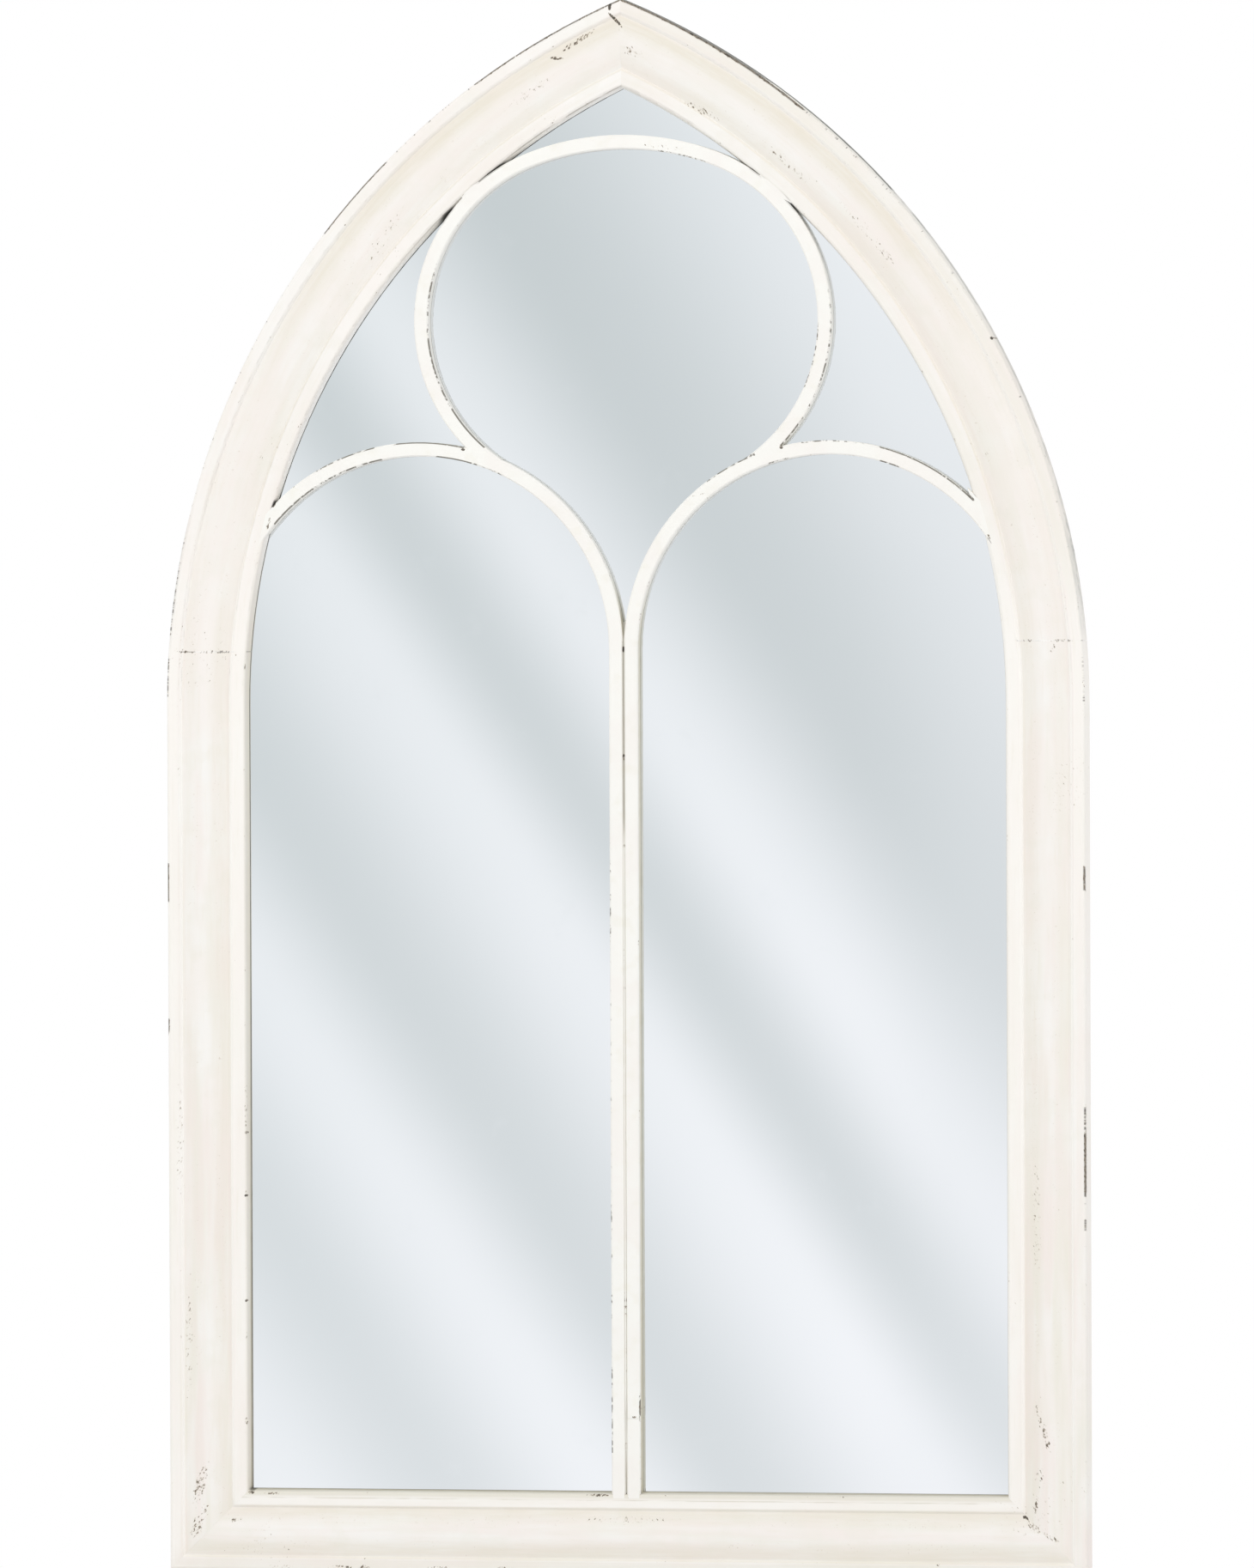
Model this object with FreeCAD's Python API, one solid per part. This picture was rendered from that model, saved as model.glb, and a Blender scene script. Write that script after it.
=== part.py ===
"""Pointed-arch wall mirror: a folded sheet-metal moulding around window tracery and one mirror pane.

Millimetres, +Z up, the front faces -Y.  The origin lies midway between the entry holes of the two
keyhole hangers, in the plane of the frame's back.  While the pieces are made, heights count from the
frame's lower edge, and the last step moves every piece to that origin.

Across the moulding, u runs from the outer edge towards the opening and t from the back to the front.
"""

import FreeCAD
import Part

import math
import os

from FreeCAD import Vector

# Frame outline
overall_width = 660.0
overall_height = 1116.0
spring_height = 618.0  # where the straight stiles turn into the pointed arch
left_seam_rise = 36.5  # butt seam of the left stile and arch above the spring line
right_seam_rise = 43.0

# Moulding, folded from sheet
moulding_width = 58.0
sheet = 1.2
bend_radius = 0.6  # on the inner side of the tight bends
edge_bend_radius = 1.0  # on the inner side of the two front edges
outer_band = 9.0
outer_quirk_depth = 1.8
inner_band = 10.0
inner_band_drop = 3.0  # inner band behind the outer band
inner_quirk_depth = 1.5
quirk_lean = 1.3  # how far each quirk's wall leans
swell_peak = 2.0  # corner of the swell, before rounding, in front of the outer band
swell_rounding = 0.85  # share of the shorter side that the swell's arc takes
reveal_depth = 11.0  # inner band to the face of the glass
reveal_splay = 2.0  # how far the reveal leans in from the inner band to the glass
glass_lip = 26.0
back_flange = 14.0
seam_gap = 0.3
mitre_gap = 0.02  # the mitres are filled and painted over

# Tracery bars
bar_width = 10.0
bar_easing = 0.9  # flat that eases the bars' front edges
bar_face_drop = 0.2  # bar face behind the inner band
bar_glass_clearance = 0.3
mullion_gap = 0.8
light_drop = 460.0  # where the bars turn into the light arches, below the apex
light_overreach = 17.4  # light arch's foot, were it not cut, beyond the frame's inner edge
ring_stretch = 22.5  # centre of each of the ring's sides from the middle
ring_crown_half_angle = 20.0
ring_bite = 0.8  # how deep the ring's inner edge is cut where it lies on a light bar
weld_gap = 0.1
foot_length = 52.0  # separate lower end of the right mullion bar

# Pane, board and the clips that hold them
glass_thickness = 4.0
glass_overlap = 10.0
board_thickness = 3.0
board_inset = 0.5  # board's edge inside the glass's edge
clip_width = 11.0
clip_reach = 20.0
clip_thickness = 1.5
clip_corner_radius = 2.0
running_clearance = 0.1
hole_clearance = 0.2
boss_radius = 5.0
boss_clearance = 0.3
screw_radius = 2.0
screw_bite = 5.0  # length of thread in the boss
screw_end_clearance = 0.5
head_radius = 4.0
head_height = 2.4
head_edge_radius = 1.0
slot_width = 1.0
slot_depth = 1.0
back_spare = 2.9  # screw heads in front of the frame's back
low_clip_height = 160.0
high_clip_height = 470.0
bottom_clip_offset = 150.0
arch_clip_angle = 33.0

# Joint plates inside the moulding
plate_thickness = 1.5
plate_edge = 3.0  # plate's outer edge inside the frame's outer edge
plate_width = 10.0
plate_reach = 60.0

# Keyhole hangers
hanger_drop = 30.0  # entry holes below the spring line
hanger_length = 50.0
hanger_edge = 3.0
hanger_reach = 36.0
joggle_run = 2.4
joggle_clearance = 0.6
entry_radius = 5.0
slot_radius = 2.5
slot_rise = 10.0

# Felt pads on the back
pad_radius = 6.0
pad_thickness = 2.0
low_pad_height = 40.0
arch_pad_angle = 42.0

# Sizes that follow
half_width = overall_width / 2
arch_rise = overall_height - spring_height
arch_radius = (half_width**2 + arch_rise**2) / overall_width
arch_offset = arch_radius - half_width
clip_stack = clip_thickness + 2 * running_clearance + head_height
glass_front = glass_thickness + board_thickness + clip_stack + back_spare
glass_back = glass_front - glass_thickness
board_back = glass_back - board_thickness
inner_front = glass_front + reveal_depth
front = inner_front + inner_band_drop
band_inset = moulding_width - reveal_splay  # inner edge of the inner band
opening_half = half_width - moulding_width
light_spring = overall_height - light_drop
mullion_axis = mullion_gap / 2 + bar_width / 2
light_radius = (opening_half + light_overreach - mullion_axis) / 2
light_axis = mullion_axis + light_radius
hanger_height = spring_height - hanger_drop
pivot_inset = moulding_width - glass_overlap - boss_clearance - boss_radius

LEFT = -1
RIGHT = 1
SIDES = (("left", LEFT), ("right", RIGHT))
BACK_TO_FRONT = Vector(0, -1, 0)
MARGIN = 5.0  # how far the cutting tools reach past the pieces that they cut
HALF_TURN = 180
FULL_TURN = 360


def flat(u, t):
    """A point of a section, before it is placed."""
    return Vector(u, t, 0)


def at(x, t, z):
    """A point of the mirror, t in front of its back."""
    return Vector(x, -t, z)


def corner_arc(before, corner, after, radius):
    """Start, middle and end of the arc that rounds a corner."""
    into = (corner - before).normalize()
    out = (after - corner).normalize()
    half_turn = into.getAngle(out) / 2
    inward = (out - into).normalize()
    centre = corner + inward * (radius / math.cos(half_turn))
    reach = radius * math.tan(half_turn)
    return corner - into * reach, centre - inward * radius, corner + out * reach


def rounded_path(points, radii):
    """Lines through the points, with an arc of its own radius at each inner point."""
    edges = []
    start = points[0]
    for before, corner, after, radius in zip(points, points[1:], points[2:], radii):
        begin, middle, end = corner_arc(before, corner, after, radius)
        edges.append(Part.LineSegment(start, begin).toShape())
        edges.append(Part.Arc(begin, middle, end).toShape())
        start = end
    edges.append(Part.LineSegment(start, points[-1]).toShape())
    return edges


def right_of(direction):
    """The direction at a right angle to the right, in a section."""
    return flat(direction.y, -direction.x)


def offset_points(points, distance):
    """The corners of a path that runs the given distance to the right of another."""
    directions = [(b - a).normalize() for a, b in zip(points, points[1:])]
    moved = [points[0] + right_of(directions[0]) * distance]
    for corner, into, out in zip(points[1:], directions, directions[1:]):
        diagonal = right_of(into) + right_of(out)
        moved.append(corner + diagonal * (2 * distance / diagonal.Length**2))
    moved.append(points[-1] + right_of(directions[-1]) * distance)
    return moved


def bent_sheet(points, inner_radii, thickness):
    """Section of a folded sheet: the path, and its copy one thickness to the right."""
    near_radii = []
    far_radii = []
    for before, corner, after, radius in zip(points, points[1:], points[2:], inner_radii):
        bends_right = (corner - before).cross(after - corner).z < 0
        near_radii.append(radius + thickness if bends_right else radius)
        far_radii.append(radius if bends_right else radius + thickness)
    far_points = offset_points(points, thickness)
    edges = rounded_path(points, near_radii) + rounded_path(far_points, far_radii)
    edges.append(Part.LineSegment(points[0], far_points[0]).toShape())
    edges.append(Part.LineSegment(points[-1], far_points[-1]).toShape())
    return Part.Face(Part.Wire(Part.__sortEdges__(edges)))


def placed(section, origin, u_axis):
    """A section set in the mirror, with its u along u_axis and its t towards the front."""
    rotation = FreeCAD.Rotation(u_axis, BACK_TO_FRONT, u_axis.cross(BACK_TO_FRONT), "XYZ")
    copy = section.copy()
    copy.Placement = FreeCAD.Placement(origin, rotation)
    return copy


def prism(face, depth):
    """A face at the back of a piece, extruded towards the front."""
    return face.extrude(BACK_TO_FRONT * depth)


def polygon_tool(corners):
    """A cutting tool right through the frame, with (x, z) corners."""
    points = [at(x, -MARGIN, z) for x, z in corners]
    face = Part.Face(Part.makePolygon(points + points[:1]))
    return prism(face, front + 2 * MARGIN)


def box_tool(x0, x1, z0, z1):
    """A box right through the frame."""
    return polygon_tool([(x0, z0), (x1, z0), (x1, z1), (x0, z1)])


def cylinder(x, z, radius, back, front_end):
    """A round solid whose axis runs from the back to the front."""
    return Part.makeCylinder(radius, front_end - back, at(x, back, z), BACK_TO_FRONT)


def arch_centre(side):
    """Centre of one side's arch."""
    return Vector(-side * arch_offset, 0, spring_height)


def arch_axis(side):
    """Axis about which one side's arch rises from its stile."""
    return Vector(0, -side, 0)


def outline(inset, back):
    """The frame's outline, moved in by the inset."""
    half = half_width - inset
    radius = arch_radius - inset
    apex_angle = math.acos(arch_offset / radius)
    apex = at(0, back, spring_height + radius * math.sin(apex_angle))
    feet = {side: at(side * half, back, inset) for name, side in SIDES}
    springs = {side: at(side * half, back, spring_height) for name, side in SIDES}
    edges = [Part.LineSegment(feet[LEFT], feet[RIGHT]).toShape()]
    for name, side in SIDES:
        middle_x = side * (radius * math.cos(apex_angle / 2) - arch_offset)
        middle = at(middle_x, back, spring_height + radius * math.sin(apex_angle / 2))
        edges.append(Part.LineSegment(feet[side], springs[side]).toShape())
        edges.append(Part.Arc(springs[side], middle, apex).toShape())
    return Part.Face(Part.Wire(Part.__sortEdges__(edges)))


def panel(inset, back, thickness):
    """A flat plate of the frame's outline, moved in by the inset."""
    return prism(outline(inset, back), thickness)


def frame_point(member, place, inset):
    """A point of a member of the frame, and the direction from there into the opening."""
    side = LEFT if member.startswith("left") else RIGHT
    if member == "bottom":
        return Vector(place, 0, inset), Vector(0, 0, 1)
    if member.endswith("stile"):
        return Vector(side * (half_width - inset), 0, place), Vector(-side, 0, 0)
    angle = math.radians(place)
    outward = Vector(side * math.cos(angle), 0, math.sin(angle))
    return arch_centre(side) + outward * (arch_radius - inset), outward * -1


def moulding_section():
    """The folded sheet from the back flange over the front to the lip behind the glass's edge."""
    swell_start = flat(outer_band + quirk_lean, front - outer_quirk_depth)
    inner_quirk = flat(band_inset - inner_band - quirk_lean, inner_front - inner_quirk_depth)
    swell = flat((swell_start.x + inner_quirk.x) / 2, front + swell_peak)
    rise = swell - swell_start
    fall = inner_quirk - swell
    swell_reach = swell_rounding * min(rise.Length, fall.Length)
    swell_radius = swell_reach / math.tan(rise.getAngle(fall) / 2)
    corners = (
        (flat(0, 0), bend_radius),
        (flat(0, front), edge_bend_radius),
        (flat(outer_band, front), bend_radius),
        (swell_start, bend_radius),
        (swell, swell_radius - sheet),
        (inner_quirk, bend_radius),
        (flat(band_inset - inner_band, inner_front), bend_radius),
        (flat(band_inset, inner_front), edge_bend_radius),
        (flat(moulding_width, glass_front), bend_radius),
    )
    points = [flat(back_flange, 0)]
    points += [point for point, radius in corners]
    points.append(flat(moulding_width - glass_lip, glass_front))
    return bent_sheet(points, [radius for point, radius in corners], sheet)


def side_section(side, height):
    """The moulding's section across one side of the frame."""
    return placed(moulding_section(), Vector(side * half_width, 0, height), Vector(-side, 0, 0))


def past_apex_angle():
    """Angle of an arch that reaches a little beyond the apex."""
    return math.degrees(math.acos((arch_offset - MARGIN) / arch_radius))


def seam_rise(side):
    """Height of one side's seam above the spring line."""
    return left_seam_rise if side == LEFT else right_seam_rise


def past_seam_angle(side):
    """Angle of a curve that reaches a little beyond the seam, all across the moulding."""
    return math.degrees(math.asin((seam_rise(side) + MARGIN) / (arch_radius - moulding_width)))


def mitre_waste(side, gap):
    """What lies beyond one lower corner's mitre, seen from the stile, moved up by the gap."""
    reach = moulding_width + MARGIN
    outer = side * (half_width + MARGIN)
    inner = side * (half_width - reach)
    return polygon_tool([(outer, gap - MARGIN), (inner, reach + gap), (inner, -reach), (outer, -reach)])


def stile(side):
    """A straight side of the frame, with the start of the curve up to the level seam."""
    run = side_section(side, 0).extrude(Vector(0, 0, spring_height))
    curve = side_section(side, spring_height)
    end = curve.revolve(arch_centre(side), arch_axis(side), past_seam_angle(side))
    whole = run.fuse(end).removeSplitter()
    top = spring_height + seam_rise(side) - seam_gap / 2
    above_seam = box_tool(0, side * (half_width + MARGIN), top, overall_height)
    return whole.cut([mitre_waste(side, mitre_gap / math.sqrt(2)), above_seam])


def arch(side):
    """A curved half of the pointed head, from the level seam to the mitre at the apex."""
    section = side_section(side, spring_height)
    sweep = section.revolve(arch_centre(side), arch_axis(side), past_apex_angle())
    inner = side * mitre_gap / 2
    outer = side * (half_width + MARGIN)
    foot = spring_height + seam_rise(side) + seam_gap / 2
    return sweep.common(box_tool(inner, outer, foot, overall_height + MARGIN))


def bottom_rail():
    """The bottom of the frame, mitred at both ends."""
    section = placed(moulding_section(), Vector(-half_width, 0, 0), Vector(0, 0, 1))
    rail = section.extrude(Vector(overall_width, 0, 0))
    lowered = -mitre_gap / math.sqrt(2)
    keep = mitre_waste(LEFT, lowered).fuse(mitre_waste(RIGHT, lowered))
    inner = half_width - moulding_width - MARGIN
    return rail.common(keep.fuse(box_tool(-inner, inner, -MARGIN, moulding_width + MARGIN)))


def bar_section():
    """Section of a tracery bar, with its two front edges eased."""
    half = bar_width / 2
    back = glass_front + bar_glass_clearance
    face = inner_front - bar_face_drop
    points = [
        flat(-half, back),
        flat(-half, face - bar_easing),
        flat(bar_easing - half, face),
        flat(half - bar_easing, face),
        flat(half, face - bar_easing),
        flat(half, back),
    ]
    return Part.Face(Part.makePolygon(points + points[:1]))


def reveal_section():
    """Section of the space outside the reveal, one weld gap clear of the sheet, on past the outer edge."""
    outer = -half_width
    low = glass_front - MARGIN
    high = front + MARGIN
    lean = reveal_splay / reveal_depth
    foot = moulding_width + weld_gap + MARGIN * lean
    head = foot - (high - low) * lean
    points = [flat(outer, low), flat(outer, high), flat(head, high), flat(foot, low)]
    return Part.Face(Part.makePolygon(points + points[:1]))


def frame_space():
    """The space of the frame and all round it, in to the reveal, from which no bar takes any."""
    bottom = placed(reveal_section(), Vector(-half_width, 0, 0), Vector(0, 0, 1))
    spaces = [bottom.extrude(Vector(overall_width, 0, 0))]
    for name, side in SIDES:
        section = placed(reveal_section(), Vector(side * half_width, 0, 0), Vector(-side, 0, 0))
        spaces.append(section.extrude(Vector(0, 0, spring_height)))
        section.translate(Vector(0, 0, spring_height))
        spaces.append(section.revolve(arch_centre(side), arch_axis(side), past_apex_angle()))
    return spaces


def light_bar(side):
    """One light's bar: half of the mullion, then a round arch to the frame."""
    section = placed(bar_section(), Vector(side * mullion_axis, 0, 0), Vector(1, 0, 0))
    upright = section.extrude(Vector(0, 0, light_spring))
    section.translate(Vector(0, 0, light_spring))
    centre = Vector(side * light_axis, 0, light_spring)
    head = section.revolve(centre, Vector(0, side, 0), HALF_TURN)
    return upright.fuse(head).removeSplitter().cut(frame_space())


def ring_side():
    """Centre and radius of the ring's right side, which touches the frame outside and a light bar inside.

    The centre's distances to the frame's and the light's centres add up to a fixed sum, so its height
    follows from the ring's stretch.
    """
    frame_reach = arch_radius - band_inset - weld_gap - bar_width / 2
    light_reach = light_radius - ring_bite
    total = frame_reach + light_reach
    from_frame = arch_offset + ring_stretch
    from_light = light_axis - ring_stretch
    light_rise = light_spring - spring_height
    slope = light_rise / total
    squares = frame_reach**2 - light_reach**2 - from_frame**2 + from_light**2 + light_rise**2
    base = squares / (2 * total)
    spare = frame_reach - base
    fall = 1 - slope**2
    height = (slope * spare + math.sqrt(spare**2 - fall * from_frame**2)) / fall
    return Vector(ring_stretch, 0, spring_height + height), base - slope * height


def ring_bar():
    """The ring above the lights: a crown and two tighter sides that run out on the light bars."""
    centre, side_radius = ring_side()
    half_angle = math.radians(ring_crown_half_angle)
    crown_radius = side_radius + centre.x / math.sin(half_angle)
    crown_height = centre.z - centre.x / math.tan(half_angle)
    crown_centre = Vector(0, 0, crown_height)
    top = Vector(0, 0, crown_height + crown_radius)
    section = placed(bar_section(), top, Vector(0, 0, 1))
    section.rotate(crown_centre, Vector(0, 1, 0), -ring_crown_half_angle)
    ring = section.revolve(crown_centre, Vector(0, 1, 0), 2 * ring_crown_half_angle)
    to_light = Vector(light_axis, 0, light_spring) - centre
    side_turn = math.degrees(math.atan2(to_light.x, to_light.z)) - ring_crown_half_angle
    trim_radius = light_radius + bar_width / 2 + weld_gap
    lights = []
    for name, side in SIDES:
        end = placed(bar_section(), top, Vector(0, 0, 1))
        end.rotate(crown_centre, Vector(0, 1, 0), side * ring_crown_half_angle)
        side_centre = Vector(side * centre.x, 0, centre.z)
        ring = ring.fuse(end.revolve(side_centre, Vector(0, side, 0), side_turn))
        lights.append(cylinder(side * light_axis, light_spring, trim_radius, -MARGIN, front + MARGIN))
    return ring.removeSplitter().cut(lights + frame_space())


def turn_clip(point, inward):
    """A clip that turns on its screw, over the edge of the board."""
    half = clip_width / 2
    corners = [
        flat(0, half),
        flat(clip_reach, half),
        flat(clip_reach, -half),
        flat(0, -half),
    ]
    edges = rounded_path(corners, [clip_corner_radius, clip_corner_radius])
    edges.append(Part.Arc(corners[-1], flat(-half, 0), corners[0]).toShape())
    face = Part.Face(Part.Wire(Part.__sortEdges__(edges)))
    blank = face.extrude(Vector(0, 0, clip_thickness))
    blank = blank.cut(Part.makeCylinder(screw_radius + hole_clearance, clip_thickness))
    back = board_back - running_clearance - clip_thickness
    rotation = FreeCAD.Rotation(inward, inward.cross(BACK_TO_FRONT) * -1, BACK_TO_FRONT, "XYZ")
    blank.Placement = FreeCAD.Placement(point + BACK_TO_FRONT * back, rotation)
    return blank


def clip_boss(point):
    """A round boss on the lip, level with the back of the board, threaded for the clip's screw."""
    boss = cylinder(point.x, point.z, boss_radius, board_back, glass_front)
    depth = screw_bite + screw_end_clearance
    return boss.cut(cylinder(point.x, point.z, screw_radius, board_back, board_back + depth))


def clip_screw(point):
    """A round-headed screw with a straight slot."""
    head_back = board_back - clip_stack
    head_front = head_back + head_height
    tip = board_back + screw_bite
    dome = [flat(0, head_back), flat(head_radius, head_back), flat(head_radius, head_front)]
    shank = [flat(screw_radius, head_front), flat(screw_radius, tip), flat(0, tip)]
    edges = rounded_path(dome, [head_edge_radius])
    edges += Part.makePolygon(dome[-1:] + shank + dome[:1]).Edges
    half_section = placed(Part.Face(Part.Wire(Part.__sortEdges__(edges))), point, Vector(1, 0, 0))
    screw = half_section.revolve(point, BACK_TO_FRONT, FULL_TURN)
    slot = Part.makeBox(2 * head_radius, slot_depth, slot_width)
    slot.translate(at(point.x - head_radius, head_back + slot_depth, point.z - slot_width / 2))
    return screw.cut(slot)


def joint_plates():
    """The strip inside the back flange from which the plates behind the frame's joints are cut."""
    outer = panel(plate_edge, sheet, plate_thickness)
    return outer.cut(panel(plate_edge + plate_width, sheet, plate_thickness))


def hanger(side):
    """A plate with a keyhole, flush with the frame's back and joggled over the back flange."""
    flush = back_flange + joggle_clearance + joggle_run
    points = [
        flat(hanger_reach, 0),
        flat(flush, 0),
        flat(flush - joggle_run, sheet),
        flat(hanger_edge, sheet),
    ]
    section = bent_sheet(points, [bend_radius, bend_radius], plate_thickness)
    low_end = Vector(side * half_width, 0, hanger_height - hanger_length / 2)
    plate = placed(section, low_end, Vector(-side, 0, 0)).extrude(Vector(0, 0, hanger_length))
    x = side * keyhole_axis()
    top = hanger_height + slot_rise
    entry = cylinder(x, hanger_height, entry_radius, -MARGIN, plate_thickness + MARGIN)
    slot_end = cylinder(x, top, slot_radius, -MARGIN, plate_thickness + MARGIN)
    slot = box_tool(x - slot_radius, x + slot_radius, hanger_height, top)
    return plate.cut([entry, slot_end, slot])


def keyhole_axis():
    """Distance of the keyholes from the middle of the frame."""
    flush = back_flange + joggle_clearance + joggle_run
    return half_width - (flush + hanger_reach) / 2


def felt_pad(point):
    """A round pad that keeps the frame off the wall."""
    return cylinder(point.x, point.z, pad_radius, -pad_thickness, 0)


def make_pieces():
    """Every piece of the mirror, by name."""
    pieces = {"bottom_rail": bottom_rail()}
    plates = joint_plates()
    clips = {
        "turn_clip_bottom_left": ("bottom", -bottom_clip_offset),
        "turn_clip_bottom_right": ("bottom", bottom_clip_offset),
    }
    pads = []
    for name, side in SIDES:
        pieces[name + "_stile"] = stile(side)
        pieces[name + "_arch"] = arch(side)
        pieces[name + "_hanger"] = hanger(side)
        outer = side * (half_width + MARGIN)
        inner = side * (half_width - plate_reach)
        corner = box_tool(outer, inner, -MARGIN, plate_reach)
        seam = spring_height + seam_rise(side)
        splice = box_tool(outer, inner, seam - plate_reach / 2, seam + plate_reach / 2)
        pieces[name + "_corner_plate"] = plates.common(corner)
        pieces[name + "_seam_plate"] = plates.common(splice)
        clips["turn_clip_" + name + "_low"] = (name + "_stile", low_clip_height)
        clips["turn_clip_" + name + "_high"] = (name + "_stile", high_clip_height)
        clips["turn_clip_" + name + "_arch"] = (name + "_arch", arch_clip_angle)
        pads.append(frame_point(name + "_stile", low_pad_height, back_flange / 2)[0])
        pads.append(frame_point(name + "_arch", arch_pad_angle, back_flange / 2)[0])
    apex = box_tool(-plate_reach, plate_reach, spring_height + arch_rise / 2, overall_height + MARGIN)
    pieces["apex_plate"] = plates.common(apex)

    foot_top = moulding_width + foot_length
    right_bar = light_bar(RIGHT)
    foot_space = box_tool(0, opening_half, 0, foot_top - weld_gap / 2)
    pieces["right_bar_foot"] = right_bar.common(foot_space)
    pieces["right_light_bar"] = right_bar.cut(box_tool(0, opening_half, 0, foot_top + weld_gap / 2))
    pieces["left_light_bar"] = light_bar(LEFT)
    pieces["ring_bar"] = ring_bar()

    glass_inset = moulding_width - glass_overlap
    pieces["mirror_glass"] = panel(glass_inset, glass_back, glass_thickness)
    pieces["backing_board"] = panel(glass_inset + board_inset, board_back, board_thickness)

    seats = {name: frame_point(member, place, pivot_inset) for name, (member, place) in clips.items()}
    for name, (point, inward) in seats.items():
        pieces[name] = turn_clip(point, inward)
    pieces["clip_bosses"] = Part.makeCompound([clip_boss(point) for point, inward in seats.values()])
    pieces["clip_screws"] = Part.makeCompound([clip_screw(point) for point, inward in seats.values()])
    pieces["wall_pads"] = Part.makeCompound([felt_pad(point) for point in pads])
    return pieces


os.makedirs("parts", exist_ok=True)
for piece_name, shape in make_pieces().items():
    shape.translate(Vector(0, 0, -hanger_height))
    shape.exportStep("parts/" + piece_name + ".step")
    print(piece_name, len(shape.Solids), round(shape.Volume), shape.isValid())
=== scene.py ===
"""The looks of the pointed-arch wall mirror: worn paint, mirror, fittings, fills, light, camera.

Blender's units are metres.  Shapes and marks are written in millimetres, in the CAD part's frame:
+Z up, and the front faces -Y.  Across the moulding, places count from its outer edge inwards.
"""

import math

import bmesh
import bpy
from mathutils import Matrix, Vector


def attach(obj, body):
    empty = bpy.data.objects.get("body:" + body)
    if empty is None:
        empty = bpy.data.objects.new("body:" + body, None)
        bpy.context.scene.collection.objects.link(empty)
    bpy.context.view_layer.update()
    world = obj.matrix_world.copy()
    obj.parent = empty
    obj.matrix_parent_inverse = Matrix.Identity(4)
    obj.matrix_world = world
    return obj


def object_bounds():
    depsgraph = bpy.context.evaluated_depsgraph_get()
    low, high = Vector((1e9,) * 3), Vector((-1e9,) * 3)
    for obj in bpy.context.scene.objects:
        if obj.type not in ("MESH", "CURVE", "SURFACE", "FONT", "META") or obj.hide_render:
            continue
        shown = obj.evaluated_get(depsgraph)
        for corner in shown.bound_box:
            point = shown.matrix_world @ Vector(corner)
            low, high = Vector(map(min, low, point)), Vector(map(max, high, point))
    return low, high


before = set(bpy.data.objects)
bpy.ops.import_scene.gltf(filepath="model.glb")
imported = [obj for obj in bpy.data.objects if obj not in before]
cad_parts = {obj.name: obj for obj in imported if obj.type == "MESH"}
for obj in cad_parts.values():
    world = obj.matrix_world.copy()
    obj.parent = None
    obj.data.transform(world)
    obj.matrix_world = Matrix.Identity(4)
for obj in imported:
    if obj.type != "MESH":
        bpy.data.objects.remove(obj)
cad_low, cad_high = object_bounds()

MM = 0.001
scene = bpy.context.scene

# Frame outline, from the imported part
half_width = cad_high.x / MM
bottom = cad_low.z / MM
apex = bottom + 1116.0
spring = bottom + 618.0
arch_rise = apex - spring
arch_radius = (half_width**2 + arch_rise**2) / (2 * half_width)
arch_offset = arch_radius - half_width
left_seam = spring + 36.5
right_seam = spring + 43.0

# Moulding across its width
outer_band = 9.0
swell_crest = 25.0
band_start = 46.0
band_end = 56.0
outer_front = 28.0  # outer band's face in front of the back
band_front = 25.0  # inner band's face in front of the back
joint_y = -15.6  # where the dark joint on the reveal begins

# Tracery
bar_half = 5.0
bar_front = 24.8
mullion_axis = 5.4
splice = bottom + 110.0
light_axis = 147.4
light_radius = 142.0
light_spring = apex - 460.0
ring_stretch = 22.5
crown_half_angle = math.radians(20.0)
weld_gap = 0.1  # between the ring's shoulders and the frame
ring_bite = 0.8  # of the ring's feet into the light arches
frame_reach = arch_radius - band_end - weld_gap - bar_half
light_reach = light_radius - ring_bite
halvings = 60


def ring_side():
    """Height of the ring's side centres and the radius of its sides, by halving an interval."""
    low = light_spring
    high = apex
    for _ in range(halvings):
        height = (low + high) / 2
        from_frame = math.hypot(arch_offset + ring_stretch, height - spring)
        from_light = math.hypot(light_axis - ring_stretch, height - light_spring)
        if from_frame + from_light < frame_reach + light_reach:
            low = height
        else:
            high = height
    return low, frame_reach - math.hypot(arch_offset + ring_stretch, low - spring)


ring_height, ring_radius = ring_side()
crown_height = ring_height - ring_stretch / math.tan(crown_half_angle)
crown_radius = ring_radius + ring_stretch / math.sin(crown_half_angle)


def linear(red, green, blue):
    """A colour written as it shows on a screen, 0 to 255, as Blender's linear colour."""
    channels = []
    for level in (red, green, blue):
        share = level / 255
        channels.append(share / 12.92 if share <= 0.04045 else ((share + 0.055) / 1.055) ** 2.4)
    return (*channels, 1.0)


# Colours of the frame's paint, and of painted light and shade on it
ivory_cool = linear(250, 248, 244)
ivory_warm = linear(250, 245, 240)
ivory_green = linear(240, 237, 225)
ivory_pink = linear(246, 236, 230)
ivory_patch = linear(243, 240, 231)
ivory_flat_light = linear(254, 251, 245)
ivory_dull_shade = linear(233, 226, 211)
ivory_crest = linear(242, 234, 226)
ivory_streak = linear(241, 236, 224)
ivory_quirk_light = linear(255, 253, 249)
beige_hollow_shade = linear(229, 221, 203)
reveal_cream_shade = linear(240, 233, 208)
reveal_white_light = linear(255, 254, 251)
ledge_shade = linear(222, 217, 200)
ledge_crack = linear(184, 174, 146)
joint_olive_shadow = linear(124, 110, 64)
inner_line_grey = linear(122, 116, 104)
rear_grey = linear(182, 183, 178)
speck_beige = linear(208, 196, 178)
bare_edge = linear(84, 79, 73)
dark_side_grey = linear(74, 71, 64)
primer_dark = linear(112, 109, 104)
primer_pale = linear(150, 145, 135)
primer_stain = linear(84, 80, 75)
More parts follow.
